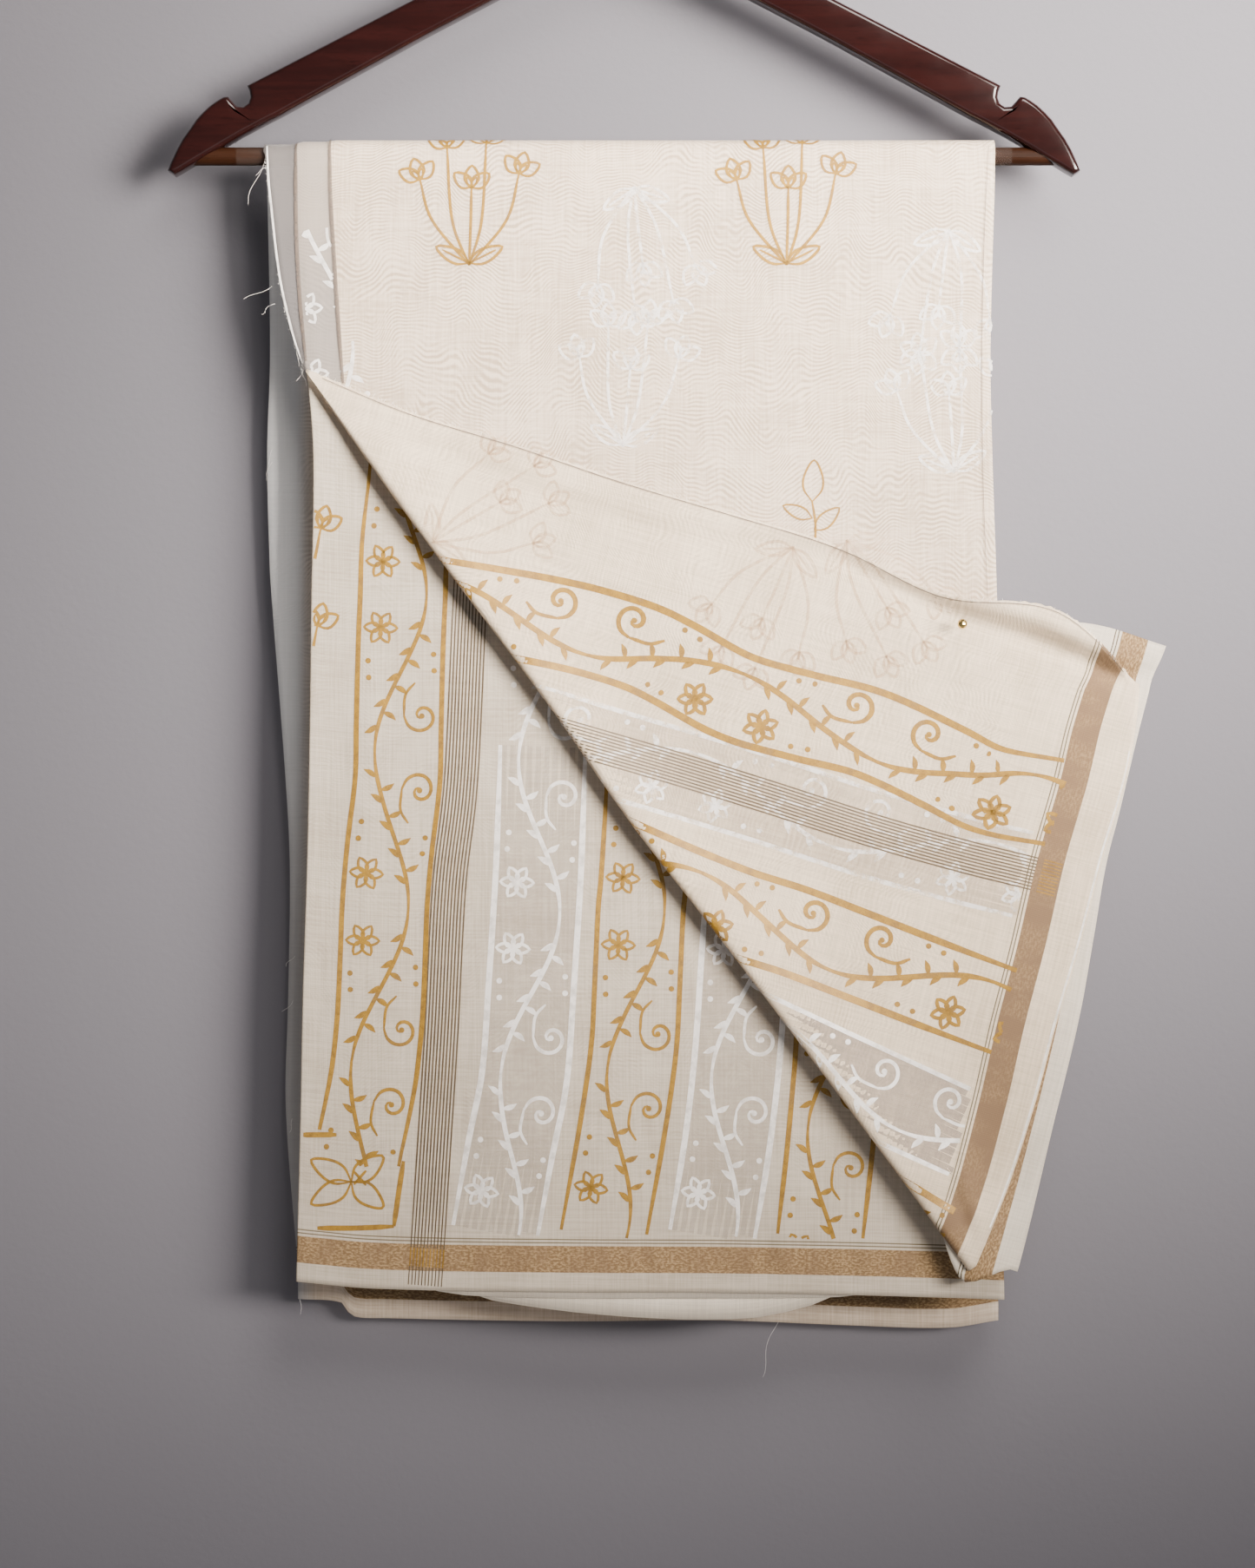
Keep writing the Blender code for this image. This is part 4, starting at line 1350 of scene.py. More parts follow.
@dataclass(frozen=True)
class Motif:
    """A small figure that a printing block carries, in millimetres."""

    strokes: tuple[Stroke, ...] = ()
    leaves: tuple[Leaf, ...] = ()
    dots: tuple[Dot, ...] = ()
    spacing: float = 1.7
    weight: float = 1.0

    def ribbon(self, shape: BMesh, run: list[Vector],
               width: Callable[[float], float]) -> None:
        """Lay a flat ribbon along a run of places.

        Args:
            shape: what the ribbon is added to.
            run: its middle line.
            width: its width at each share of its length.
        """
        steps = len(run) - 1
        made = bmesh.ops.create_grid(shape, x_segments=steps, y_segments=1, size=0.5)
        for vert in made["verts"]:
            index = round((vert.co.x + 0.5) * steps)
            side = 0.5 if vert.co.y > 0.0 else -0.5
            heading = (run[min(index + 1, steps)] - run[max(index - 1, 0)]).normalized()
            aside = Vector((heading.y, -heading.x)) * side * width(index / steps)
            spot = run[index] + aside
            vert.co = (spot.x, spot.y, 0.0)

    def draw(self) -> Mesh:
        """Draw the figure flat, across as X and along as Y.

        Returns:
            The flat mesh.
        """
        shape = bmesh.new()
        for stroke in self.strokes:
            run = smooth_run(stroke.points, self.spacing)
            self.ribbon(shape, run, lambda share, wide=stroke.width * self.weight: wide * (
                0.62 + 0.38 * ease(5.0 * min(share, 1.0 - share))))
        for leaf in self.leaves:
            base = Vector(leaf.base)
            tip = Vector(leaf.tip)
            bend = Vector((tip.y - base.y, base.x - tip.x)) * 0.08
            run = smooth_run((base, (base + tip) / 2.0 + bend, tip), (tip - base).length / 5.0)
            self.ribbon(shape, run, lambda share, wide=leaf.width: wide * (
                0.12 + 0.95 * math.sin(math.pi * min(share + 0.08, 1.0)) ** 0.8))
        for dot in self.dots:
            made = bmesh.ops.create_circle(shape, cap_ends=True, segments=9,
                                           radius=dot.radius)
            bmesh.ops.translate(shape, verts=made["verts"],
                                vec=(dot.across, dot.along, 0.0))
        return as_mesh("block", shape)


HALF_REPEAT = 75.6
BAND_WIDTH = 41.0
FIELD_LINES = 10
SPRAY_HEADS = ((-24.0, -8.0), (-11.0, -24.0), (8.0, -27.0), (24.0, -11.0), (1.0, -4.0))


def lens(base: Pair, tip: Pair,
         width: float) -> tuple[Pair, ...]:
    """Give the outline of a petal or leaf, from its base round its tip and back."""
    along = Vector(tip) - Vector(base)
    aside = Vector((-along.y, along.x)).normalized() * width / 2.0
    rows = ((0.0, 0.0), (0.3, 0.9), (0.65, 0.85), (1.0, 0.0), (0.65, -0.85), (0.3, -0.9),
            (0.0, 0.0))
    return tuple(tuple(Vector(base) + along * share + aside * side) for share, side in rows)


def fan(centre: Pair, reach: float, angles: Sequence[float],
        width: float) -> tuple[tuple[Pair, ...], ...]:
    """Give the outlines of petals spread about a centre, at angles in degrees."""
    return tuple(lens(centre, (centre[0] + reach * math.cos(math.radians(angle)),
                               centre[1] + reach * math.sin(math.radians(angle))), width)
                 for angle in angles)


def trailing_vine() -> Motif:
    """Draw half a repeat of a trailing stem with leaves, a flower and a curl."""

    def stem(share: float) -> Pair:
        """Give the stem's place at a share of the half repeat."""
        return 20.5 + 11.5 * math.cos(math.pi * share), HALF_REPEAT * share

    strokes = [Stroke(1.7, tuple(stem(k / 12.0) for k in range(13)))]
    strokes += [Stroke(1.1, run) for run in fan((10.5, 16.0), 8.0, range(0, 360, 60), 4.6)]
    curl = tuple((31.5 - (8.6 - 0.62 * k) * math.cos(0.62 * k),
                  58.0 + (8.6 - 0.62 * k) * math.sin(0.62 * k)) for k in range(13))
    strokes += [Stroke(1.4, curl), Stroke(1.1, ((22.9, 58.0), (23.4, 48.0), (28.0, 42.0)))]
    leaves = []
    for k in range(2, 11):
        x, y = stem(k / 12.0)
        side = 1.0 if k % 2 else -1.0
        leaves.append(Leaf(2.6, (x + side, y), (x + 6.6 * side, y + 3.6)))
    dots = tuple(Dot(1.4, across, along) for across, along in (
        (10.5, 16.0), (31.5, 58.0), (5.0, 32.0), (5.5, 40.0), (37.0, 36.0), (36.5, 28.0)))
    return Motif(strokes=tuple(strokes), leaves=tuple(leaves), dots=dots)


def flower_spray() -> Motif:
    """Draw a spray of five flowers on curved stems, with leaves at its foot."""
    strokes = []
    for x, y in SPRAY_HEADS:
        bend = (x * 0.75, 12.0)
        strokes.append(Stroke(1.05, ((0.0, 34.0), bend, (x, y))))
        angle = math.degrees(math.atan2(y - bend[1], x - bend[0]))
        strokes += [Stroke(1.0, run) for run in
                    fan((x, y), 11.0, (angle - 50.0, angle, angle + 50.0), 7.0)]
        strokes += [Stroke(0.8, run) for run in fan((x, y), 5.5, (angle - 25.0, angle + 25.0), 2.4)]
    for side in (-1.0, 1.0):
        strokes.append(Stroke(1.05, lens((0.0, 33.0), (16.0 * side, 25.0), 7.0)))
        strokes.append(Stroke(0.8, ((0.0, 33.0), (13.0 * side, 26.5))))
    return Motif(strokes=tuple(strokes), dots=tuple(Dot(0.8, x, y) for x, y in SPRAY_HEADS))


def leaf_sprig() -> Motif:
    """Draw a short twig with three leaves."""
    runs = (lens((0.0, 0.0), (1.0, -20.0), 10.0), lens((0.0, 8.0), (-14.0, 2.0), 6.0),
            lens((1.0, 14.0), (13.0, 3.0), 7.0))
    stem = Stroke(1.2, ((0.0, 0.0), (1.6, 12.0), (0.8, 26.0)))
    return Motif(strokes=(stem, *(Stroke(1.0, run) for run in runs)))


VINE = trailing_vine()
SPRAY = flower_spray()
SPRAY_CENTRE = (0.0, 2.0)
SPRIG = leaf_sprig()


@dataclass(frozen=True)
class BandPath:
    """The middle line of a printed band, and the place that its repeats are counted from."""

    places: tuple[Pair, ...]
    origin: Pair

    def mapper(self, width: float) -> tuple[Flat, float, float]:
        """Give a call from across and along to the flat cloth, and the reach of along.

        Args:
            width: the band's width, whose middle lies on the line.

        Returns:
            The call, and the lowest and highest place along, counted from the origin.
        """
        points = smooth_run([from_photo(*place) for place in self.places], 2.0)
        origin = Vector(from_photo(*self.origin))
        step = (points[1] - points[0]).length
        start = step * min(range(len(points)), key=lambda index: (points[index] - origin).length)
        last = len(points) - 1
        spread = 3

        def flat(across: float, along: float) -> Vector:
            """Give the flat place of a point of the band."""
            at = min(max((along + start) / step, 0.0), last - 0.001)
            index = int(at)
            spot = points[index].lerp(points[index + 1], at - index)
            heading = points[min(index + spread, last)] - points[max(index - spread, 0)]
            heading.normalize()
            beyond = (along + start) / step - at
            spot = spot + heading * beyond * step
            return spot + Vector((heading.y, -heading.x)) * (across - width / 2.0)

        return flat, -start, last * step - start


class Printer:
    """Stamps figures on the sheets, one mesh for each ink and sheet."""

    LIFT = {Ink.GOLD: 0.3, Ink.WHITE: 0.24, Ink.FADED: 0.21, Ink.THREAD: 0.27, Ink.FOLD: 0.75,
            Ink.FIELD: 0.18, Ink.PALE: 0.24, Ink.MIST: 0.18}

    def __init__(self, name: str, ink: Ink, place: Callable[[float, float, float], Vector],
                 inside: Region) -> None:
        """Start a print.

        Args:
            name: the piece's name.
            ink: its colour.
            place: gives the point for x, drop and a height above the sheet.
            inside: says whether a flat place takes ink.
        """
        self.name = name
        self.ink = ink
        self.place = place
        self.inside = inside
        self.shape = bmesh.new()

    def stamp(self, mesh: Mesh, flat: Flat,
              mirrored: bool) -> None:
        """Lay one figure on the sheet.

        Args:
            mesh: the figure, drawn flat.
            flat: gives the flat cloth's place for across and along.
            mirrored: whether that turns the figure over.
        """
        patch = bmesh.new()
        patch.from_mesh(mesh)
        if not mirrored:
            bmesh.ops.reverse_faces(patch, faces=patch.faces[:])
        bare = []
        for vert in patch.verts:
            spot = flat(vert.co.x, vert.co.y)
            if self.inside(spot.x, spot.y):
                vert.co = self.place(spot.x, spot.y, self.LIFT[self.ink])
            else:
                bare.append(vert)
        bmesh.ops.delete(patch, geom=bare, context="VERTS")
        copy = as_mesh("patch", patch)
        self.shape.from_mesh(copy)
        bpy.data.meshes.remove(copy)

    def bands(self, paths: Sequence[BandPath], figure: Mesh, edge: float) -> None:
        """Print bands: a vine, turned about at each half repeat, and two edges.

        Args:
            paths: what the bands follow.
            figure: half a repeat of the vine.
            edge: how wide each edge is.
        """
        for path in paths:
            flat, low, high = path.mapper(BAND_WIDTH)
            for index in range(math.floor(low / HALF_REPEAT), math.ceil(high / HALF_REPEAT)):
                turned = index % 2 != 0
                start = (index + 1 if turned else index) * HALF_REPEAT
                sign = -1.0 if turned else 1.0
                self.stamp(figure, lambda across, along: flat(across, start + sign * along),
                           turned)
            self.rails(path, BAND_WIDTH, (0.0, BAND_WIDTH), edge, 2.4)

    def fields(self, paths: Sequence[BandPath]) -> None:
        """Tint the grounds of bands."""
        width = BAND_WIDTH / FIELD_LINES
        places = [width * (index + 0.5) for index in range(FIELD_LINES)]
        for path in paths:
            self.rails(path, BAND_WIDTH, places, width)

    def stripes(self, path: BandPath, count: int, pitch: float, width: float) -> None:
        """Lay evenly spaced fine lines along a path."""
        self.rails(path, 0.0, [(index - (count - 1) / 2.0) * pitch for index in range(count)], width)

    def rails(self, path: BandPath, breadth: float, places: Sequence[float], width: float,
              spacing: float = 3.0) -> None:
        """Lay lines along a path.

        Args:
            path: what they follow.
            breadth: the width of the band that they belong to.
            places: where each runs across it.
            width: how wide each is.
            spacing: the longest step along them.
        """
        flat, low, high = path.mapper(breadth)
        self.press([Stroke(width, ((across, low), (across, high))) for across in places], flat,
                   spacing)

    def lines(self, width: float, *runs: Sequence[Pair]) -> None:
        """Draw lines through places of the picture."""
        self.press([Stroke(width, tuple(from_photo(*place) for place in run)) for run in runs],
                   lambda across, along: Vector((across, along)))

    def press(self, strokes: Sequence[Stroke], flat: Flat,
              spacing: float = 1.7) -> None:
        """Draw strokes and lay them on the sheet.

        Args:
            strokes: what is drawn.
            flat: gives the flat cloth's place for across and along.
            spacing: the longest step along a stroke.
        """
        mesh = Motif(strokes=tuple(strokes), spacing=spacing).draw()
        self.stamp(mesh, flat, False)
        bpy.data.meshes.remove(mesh)

    def figure(self, mesh: Mesh, centre: Pair, about: Pair,
               turn: float = 0.0, mirrored: bool = False) -> None:
        """Print one figure at a place of the picture.

        Args:
            mesh: the figure, drawn flat.
            centre: where its middle goes, in the picture.
            about: its own middle.
            turn: how far it is turned, in degrees.
            mirrored: whether it is turned over.
        """
        spot = Vector(from_photo(*centre))
        cos, sin = math.cos(math.radians(turn)), math.sin(math.radians(turn))
        side = -1.0 if mirrored else 1.0

        def flat(across: float, along: float) -> Vector:
            """Give the flat place of a point of the figure."""
            x = side * (across - about[0])
            y = along - about[1]
            return spot + Vector((x * cos - y * sin, x * sin + y * cos))

        self.stamp(mesh, flat, mirrored)

    def finish(self, material: Material, slot: str) -> None:
        """Turn what was stamped into a piece."""
        mesh = as_mesh(self.name, self.shape)
        piece = make_piece(self.name, mesh, material)
        log.info("%s printed, %d faces", self.name, len(mesh.polygons))


PANEL_GOLD = (
    BandPath(((476, 530), (473, 564), (466, 629), (464, 690), (461.5, 750), (459.5, 835),
              (458, 900), (449, 976), (443.5, 1040), (441, 1104), (438, 1168), (431.5, 1232),
              (422, 1283), (414, 1320), (404, 1372)), (464, 687)),
    BandPath(((748, 880), (744, 960), (740, 1020), (737, 1053), (733, 1141), (729, 1209),
              (716, 1300), (694, 1423)), (737, 1053)),
    BandPath(((972, 1120), (966, 1180), (962, 1238), (954, 1326), (943, 1425)), (980, 1053)),
)
PANEL_WHITE = (
    BandPath(((625, 860), (622, 950), (619, 1020), (612, 1130), (604, 1238), (588, 1320),
              (570, 1418)), (619, 1057)),
    BandPath(((862, 1010), (856, 1100), (848, 1217), (836, 1320), (819, 1423)), (858, 1057)),
)
PANEL_STRIPES = BandPath(((544, 640), (540, 714), (531, 900), (517.5, 1020), (509, 1180),
                          (500, 1320), (494, 1413), (489, 1486)), (540, 714))
FLAP_GOLD = (
    BandPath(((400, 678), (440, 684), (491, 694), (590, 710), (636.5, 718.5), (681.5, 729),
              (736, 746), (776.5, 765.5), (844.5, 802.5), (918.6, 824.5), (985.5, 840.5),
              (1028.5, 857), (1086, 885), (1137, 910), (1213, 924.5)), (846, 802)),
    BandPath(((600, 944), (650, 965), (709, 991.5), (785.5, 1025), (849.5, 1050.5), (913, 1071),
              (981.5, 1097.5), (1070, 1132), (1155, 1164)), (795, 1031)),
    BandPath(((900, 1345), (1001, 1391), (1069, 1431), (1130, 1462)), (1001, 1391)),
)
FLAP_PALE = BandPath(((560, 826), (620, 842), (684, 862), (778.6, 890), (880.6, 921),
                      (1000, 960), (1100, 988), (1184, 1009), (1240, 1024)), (795, 894))
FLAP_WHITE = BandPath(((770, 1150), (852, 1183.5), (971, 1239.5), (1111, 1304.5), (1150, 1322)),
                      (880, 1196))
STRIP_BAND = BandPath(((366, 100), (367, 160), (370, 260), (376, 360), (384, 440), (392, 520)),
                      (379, 392))
FOLD_LINES = (((339, 158), (341, 268), (346, 351), (353, 417)),
              ((378, 150), (380, 221), (386, 315), (391, 386), (396, 443)))
SIDE_LINE = ((1139, 166), (1133, 260), (1129, 400), (1130, 560), (1135, 690))
RAW_ROLL = ((305, 160), (308, 205), (313, 250), (319, 300), (326, 340), (338, 388), (349, 420))
CORNER_LINES = tuple(lens((405, 1360), (405 + 46 * across, 1360 + 42 * along), 24)
                     for across, along in ((-1, -0.6), (-1, 0.6), (0.8, -0.7), (0.8, 0.7)))
CORNER_BARS = (((346, 1306), (388, 1306)), ((362, 1413), (410, 1413), (454, 1411)),
               ((465, 1336), (459, 1375), (454, 1411)))
CORNER_CROSS = ((408, 1348), (422, 1364)), ((422, 1347), (408, 1363))
CORNER_PLACES = ((372.0, 1306.0), (472.0, 1344.0))
FLAP_STRIPES = BandPath(((590, 828), (640, 845), (684, 858), (778.6, 885.5), (880.6, 917),
                         (1000, 955.5), (1100, 984), (1184, 1005), (1235, 1019),
                         (1262, 1027)), (684, 858))


class Prints:
    """All the block printing, the fine woven stripes, and painted shade along fold edges and the
    flap's cut edge.
    """

    PANEL_TOP = 40.0
    LAST_FOLD = 539.0
    UNDER_FLAP = 22.0
    PANEL_RIGHT = 183.0
    PLAIN_HEM = 25.9
    METAL_RISE = (9.4, 22.2)
    BORDER_START = 10.0
    BORDER_END = 22.6
    GOLD_START = 19.6
    GROUND_START = 27.0
    BAR_DROP = -14.0
    TOP_DROPS = (-590.0, 240.0)
    TOP_SIDES = (-139.0, 178.0)
    SPRAY_START = (540.0, 230.0)
    SPRAY_PITCH = (-365.0, 340.0)
    SPRAY_SHIFT = 182.0

    def __init__(self, top: TopSheet, panel: PalluPanel, flap: TurnedFlap,
                 inks: dict[Ink, Material]) -> None:
        """Keep the sheets and the inks."""
        self.top = top
        self.panel = panel
        self.flap = flap
        self.inks = inks
        self.vine = replace(VINE, weight=1.22).draw()
        self.bold_vine = replace(VINE, weight=1.65).draw()
        self.white_vine = replace(VINE, weight=1.3).draw()
        self.spray = replace(SPRAY, weight=1.35).draw()
        self.broad_spray = replace(SPRAY, weight=1.45).draw()
        self.sprig = SPRIG.draw()

    def past_flap(self, x: float, drop: float) -> bool:
        """Say whether a place of the panel is out from under the flap, or nearly."""
        return x < fold_x_at(min(drop, self.LAST_FOLD)) + self.UNDER_FLAP

    def on_panel(self, x: float, drop: float) -> bool:
        """Say whether the panel takes ink at a place."""
        seen = self.PANEL_TOP < drop < PANEL_HEM.at(x) - self.PLAIN_HEM
        return seen and self.past_flap(x, drop) and PANEL_LEFT.at(drop) + 0.3 < x < self.PANEL_RIGHT

    def off_corner(self, x: float, drop: float) -> bool:
        """Say whether a place takes ink and is clear of the corner piece."""
        corners = (from_photo(*place) for place in CORNER_PLACES)
        return self.on_panel(x, drop) and not any(x < across and drop > top
                                                  for across, top in corners)

    def on_stripes(self, x: float, drop: float) -> bool:
        """Say whether the panel shows its stripes at a place."""
        return self.past_flap(x, drop) and drop < PANEL_HEM.at(x) - 0.5

    def on_metal(self, x: float, drop: float) -> bool:
        """Say whether the stripes cross the metal border of the panel."""
        low, high = self.METAL_RISE
        return low < PANEL_HEM.at(x) - drop < high

    def on_flap(self, x: float, drop: float, past: float) -> bool:
        """Say whether the flap is there, stopping a distance short of its edge."""
        along, inside = self.flap.measure(x, drop)
        low = inside > -3.0 * self.flap.radius(along) and 4.0 < along < 536.0
        return low and self.flap.to_edge(x, drop) > past

    def print_piece(self, name: str, ink: Ink, sheet: TopSheet | PalluPanel | TurnedFlap,
                    inside: Region, draw: Callable[[Printer], None]) -> None:
        """Print one piece on a sheet.

        Args:
            name: the piece's name.
            ink: its colour.
            sheet: what it lies on.
            inside: says whether a flat place takes ink.
            draw: lays the figures.
        """
        printer = Printer(name, ink, sheet.point, inside)
        draw(printer)
        slot = "sheer_cloth" if sheet is self.top else "printed_cloth"
        printer.finish(self.inks[ink], slot)

    def build_panel_prints(self) -> None:
        """Print the panel."""

        def gold(printer: Printer) -> None:
            """Lay the gold bands and the sprays at the fold."""
            printer.bands(PANEL_GOLD, self.vine, 2.5)
            for centre in ((313, 640), (309, 752)):
                printer.figure(self.broad_spray, centre, SPRAY_CENTRE)

        def corner(printer: Printer) -> None:
            """Lay the piece that closes the first band at the corner."""
            printer.lines(1.4, *CORNER_LINES, *CORNER_CROSS)
            printer.lines(2.6, *CORNER_BARS)

        for name, ink, inside, draw in (
                ("panel_gold_print", Ink.GOLD, self.off_corner, gold),
                ("panel_corner_print", Ink.GOLD, self.on_panel, corner),
                ("panel_white_print", Ink.WHITE, self.on_panel,
                 lambda printer: printer.bands(PANEL_WHITE, self.white_vine, 2.9)),
                ("panel_band_field", Ink.MIST, self.on_panel,
                 lambda printer: printer.fields(PANEL_WHITE)),
                ("panel_stripes", Ink.THREAD, self.on_stripes,
                 lambda printer: printer.stripes(PANEL_STRIPES, 11, 1.6, 0.8)),
                ("panel_gilt_stripes", Ink.GOLD, self.on_metal,
                 lambda printer: printer.stripes(PANEL_STRIPES, 11, 1.6, 0.85))):
            self.print_piece(name, ink, self.panel, inside, draw)

    def build_flap_prints(self) -> None:
        """Print the turned corner."""

        def faded(printer: Printer) -> None:
            """Lay the sprays that show through from the other face."""
            for centre, turn in (((565, 590), 60.0), ((880, 700), 205.0), ((1010, 690), 150.0)):
                printer.figure(self.broad_spray, centre, SPRAY_CENTRE, turn, True)

        # A painted shade line runs just below the flap's cut edge; a white line marks its selvedge.
        rims = tuple((RAW_X.at(k / 40.0), RAW_DROP.at(k / 40.0) + 1.3) for k in range(1, 40))
        sides = tuple((FLAP_SIDE.at(drop) - 1.2, drop) for drop in range(290, 525, 12))
        for name, ink, width, run in (("flap_rim_shade", Ink.FOLD, 0.5, rims),
                                      ("flap_selvedge", Ink.WHITE, 1.0, sides)):
            path = tuple((PHOTO_MIDDLE + x / PHOTO_SCALE, PHOTO_BAR + drop / PHOTO_SCALE)
                         for x, drop in run)
            self.print_piece(name, ink, self.flap, lambda x, drop: True,
                             lambda printer, width=width, path=path: printer.lines(width, path))
        ground = self.GROUND_START
        for name, ink, past, draw in (
                ("flap_gold_print", Ink.GOLD, self.GOLD_START,
                 lambda printer: printer.bands(FLAP_GOLD, self.bold_vine, 3.5)),
                ("flap_pale_print", Ink.PALE, ground,
                 lambda printer: printer.bands((FLAP_PALE,), self.vine, 2.2)),
                ("flap_white_print", Ink.WHITE, ground,
                 lambda printer: printer.bands((FLAP_WHITE,), self.white_vine, 2.2)),
                ("flap_light_field", Ink.MIST, ground,
                 lambda printer: printer.fields((FLAP_PALE,))),
                ("flap_band_field", Ink.FIELD, ground,
                 lambda printer: printer.fields((FLAP_WHITE,))),
                ("flap_faded_print", Ink.FADED, ground, faded),
                ("flap_stripes", Ink.THREAD, self.BORDER_END, self.flap_stripes)):
            self.print_piece(name, ink, self.flap,
                             lambda x, drop, past=past: self.on_flap(x, drop, past), draw)
        self.print_piece("flap_gilt_stripes", Ink.GOLD, self.flap,
                         lambda x, drop: self.on_flap(x, drop, self.BORDER_START)
                         and not self.on_flap(x, drop, self.BORDER_END), self.flap_stripes)

    def flap_stripes(self, printer: Printer) -> None:
        """Lay the flap's stripes."""
        printer.stripes(FLAP_STRIPES, 11, 1.55, 0.78)

    def on_top(self, x: float, drop: float) -> bool:
        """Say whether the top sheet takes ink at a place."""
        low, high = self.TOP_DROPS
        left, right = self.TOP_SIDES
        return low < drop < high and left < x < right

    def in_front(self, x: float, drop: float) -> bool:
        """Say whether a place lies in front, or no further back than the top of the bar."""
        return drop > self.BAR_DROP

    def on_strips(self, x: float, drop: float) -> bool:
        """Say whether the narrow strips at the left show the white band under them."""
        left = max(self.top.left_edge(drop) + 1.5, PANEL_LEFT.at(drop) + 1.0)
        low = left < x < -121.0 and 36.0 < drop < 130.0
        return low and (x < SECOND_LEFT.at(drop) or drop > 92.0)

    def build_top_prints(self) -> None:
        """Print the top sheet, in front and behind."""

        def gold(printer: Printer) -> None:
            """Lay the sprays in staggered rows."""
            for column in range(-1, 2):
                for row in range(-5, 1):
                    shift = 0.0 if row % 2 == 0 else self.SPRAY_SHIFT
                    centre = (self.SPRAY_START[0] + self.SPRAY_PITCH[0] * column + shift,
                              self.SPRAY_START[1] + self.SPRAY_PITCH[1] * row)
                    printer.figure(self.spray, centre, SPRAY_CENTRE)
            printer.figure(self.sprig, (934, 579), (0.0, 0.0))

        def white(printer: Printer) -> None:
            """Lay the white sprays that show from the layers below."""
            for centre, turn in (((722, 440), 4.0), ((1090, 470), -5.0), ((740, 290), 172.0),
                                 ((1084, 340), 186.0)):
                printer.figure(self.spray, centre, SPRAY_CENTRE, turn)

        self.print_piece("top_gold_print", Ink.GOLD, self.top, self.on_top, gold)
        self.print_piece("top_white_print", Ink.PALE, self.top, self.on_top, white)
        self.print_piece("strip_white_print", Ink.WHITE, self.top, self.on_strips,
                         lambda printer: printer.bands((STRIP_BAND,), self.vine, 1.6))

        def folds(printer: Printer) -> None:
            """Shade the edges of the layers that lie under the sheet."""
            printer.lines(1.8, *FOLD_LINES)
            printer.lines(0.34, SIDE_LINE)

        self.print_piece("fold_lines", Ink.FOLD, self.top, self.in_front, folds)
        self.print_piece("raw_edge_roll", Ink.WHITE, self.top, self.in_front,
                         lambda printer: printer.lines(1.0, RAW_ROLL))

    def build(self) -> None:
        """Print every sheet."""
        self.build_panel_prints()
        self.build_flap_prints()
        self.build_top_prints()
        for mesh in (self.vine, self.bold_vine, self.white_vine, self.spray, self.broad_spray,
                     self.sprig):
            bpy.data.meshes.remove(mesh)


def tube_shape(runs: Sequence[Sequence[Vector]], radius: float, rounds: int,
               tip: float) -> BMesh:
    """Make round wires or threads.

    Args:
        runs: the middle line of each, in metres.
        radius: their radius in metres.
        rounds: how finely they are rounded.
        tip: share of the radius at the far end.

    Returns:
        The shape, which the caller frees.
    """
    path = bpy.data.curves.new("wire", "CURVE")
    path.dimensions = "3D"
    path.bevel_depth = radius
    path.bevel_resolution = rounds
    path.use_fill_caps = True
    for run in runs:
        line = path.splines.new("POLY")
        line.points.add(len(run) - 1)
        for point, spot in zip(line.points, run):
            point.co = (*spot, 1.0)
        line.points[-1].radius = tip
    guide = add_object("wire", path)
    shape = bmesh.new()
    shape.from_mesh(guide.to_mesh())
    bpy.data.objects.remove(guide, do_unlink=True)
    return shape


class Strand(NamedTuple):
    """A loose thread: its start on the cloth and its end, in the picture, its sway and leg."""

    start: Pair
    end: Pair
    sway: float
    on_back: bool = False


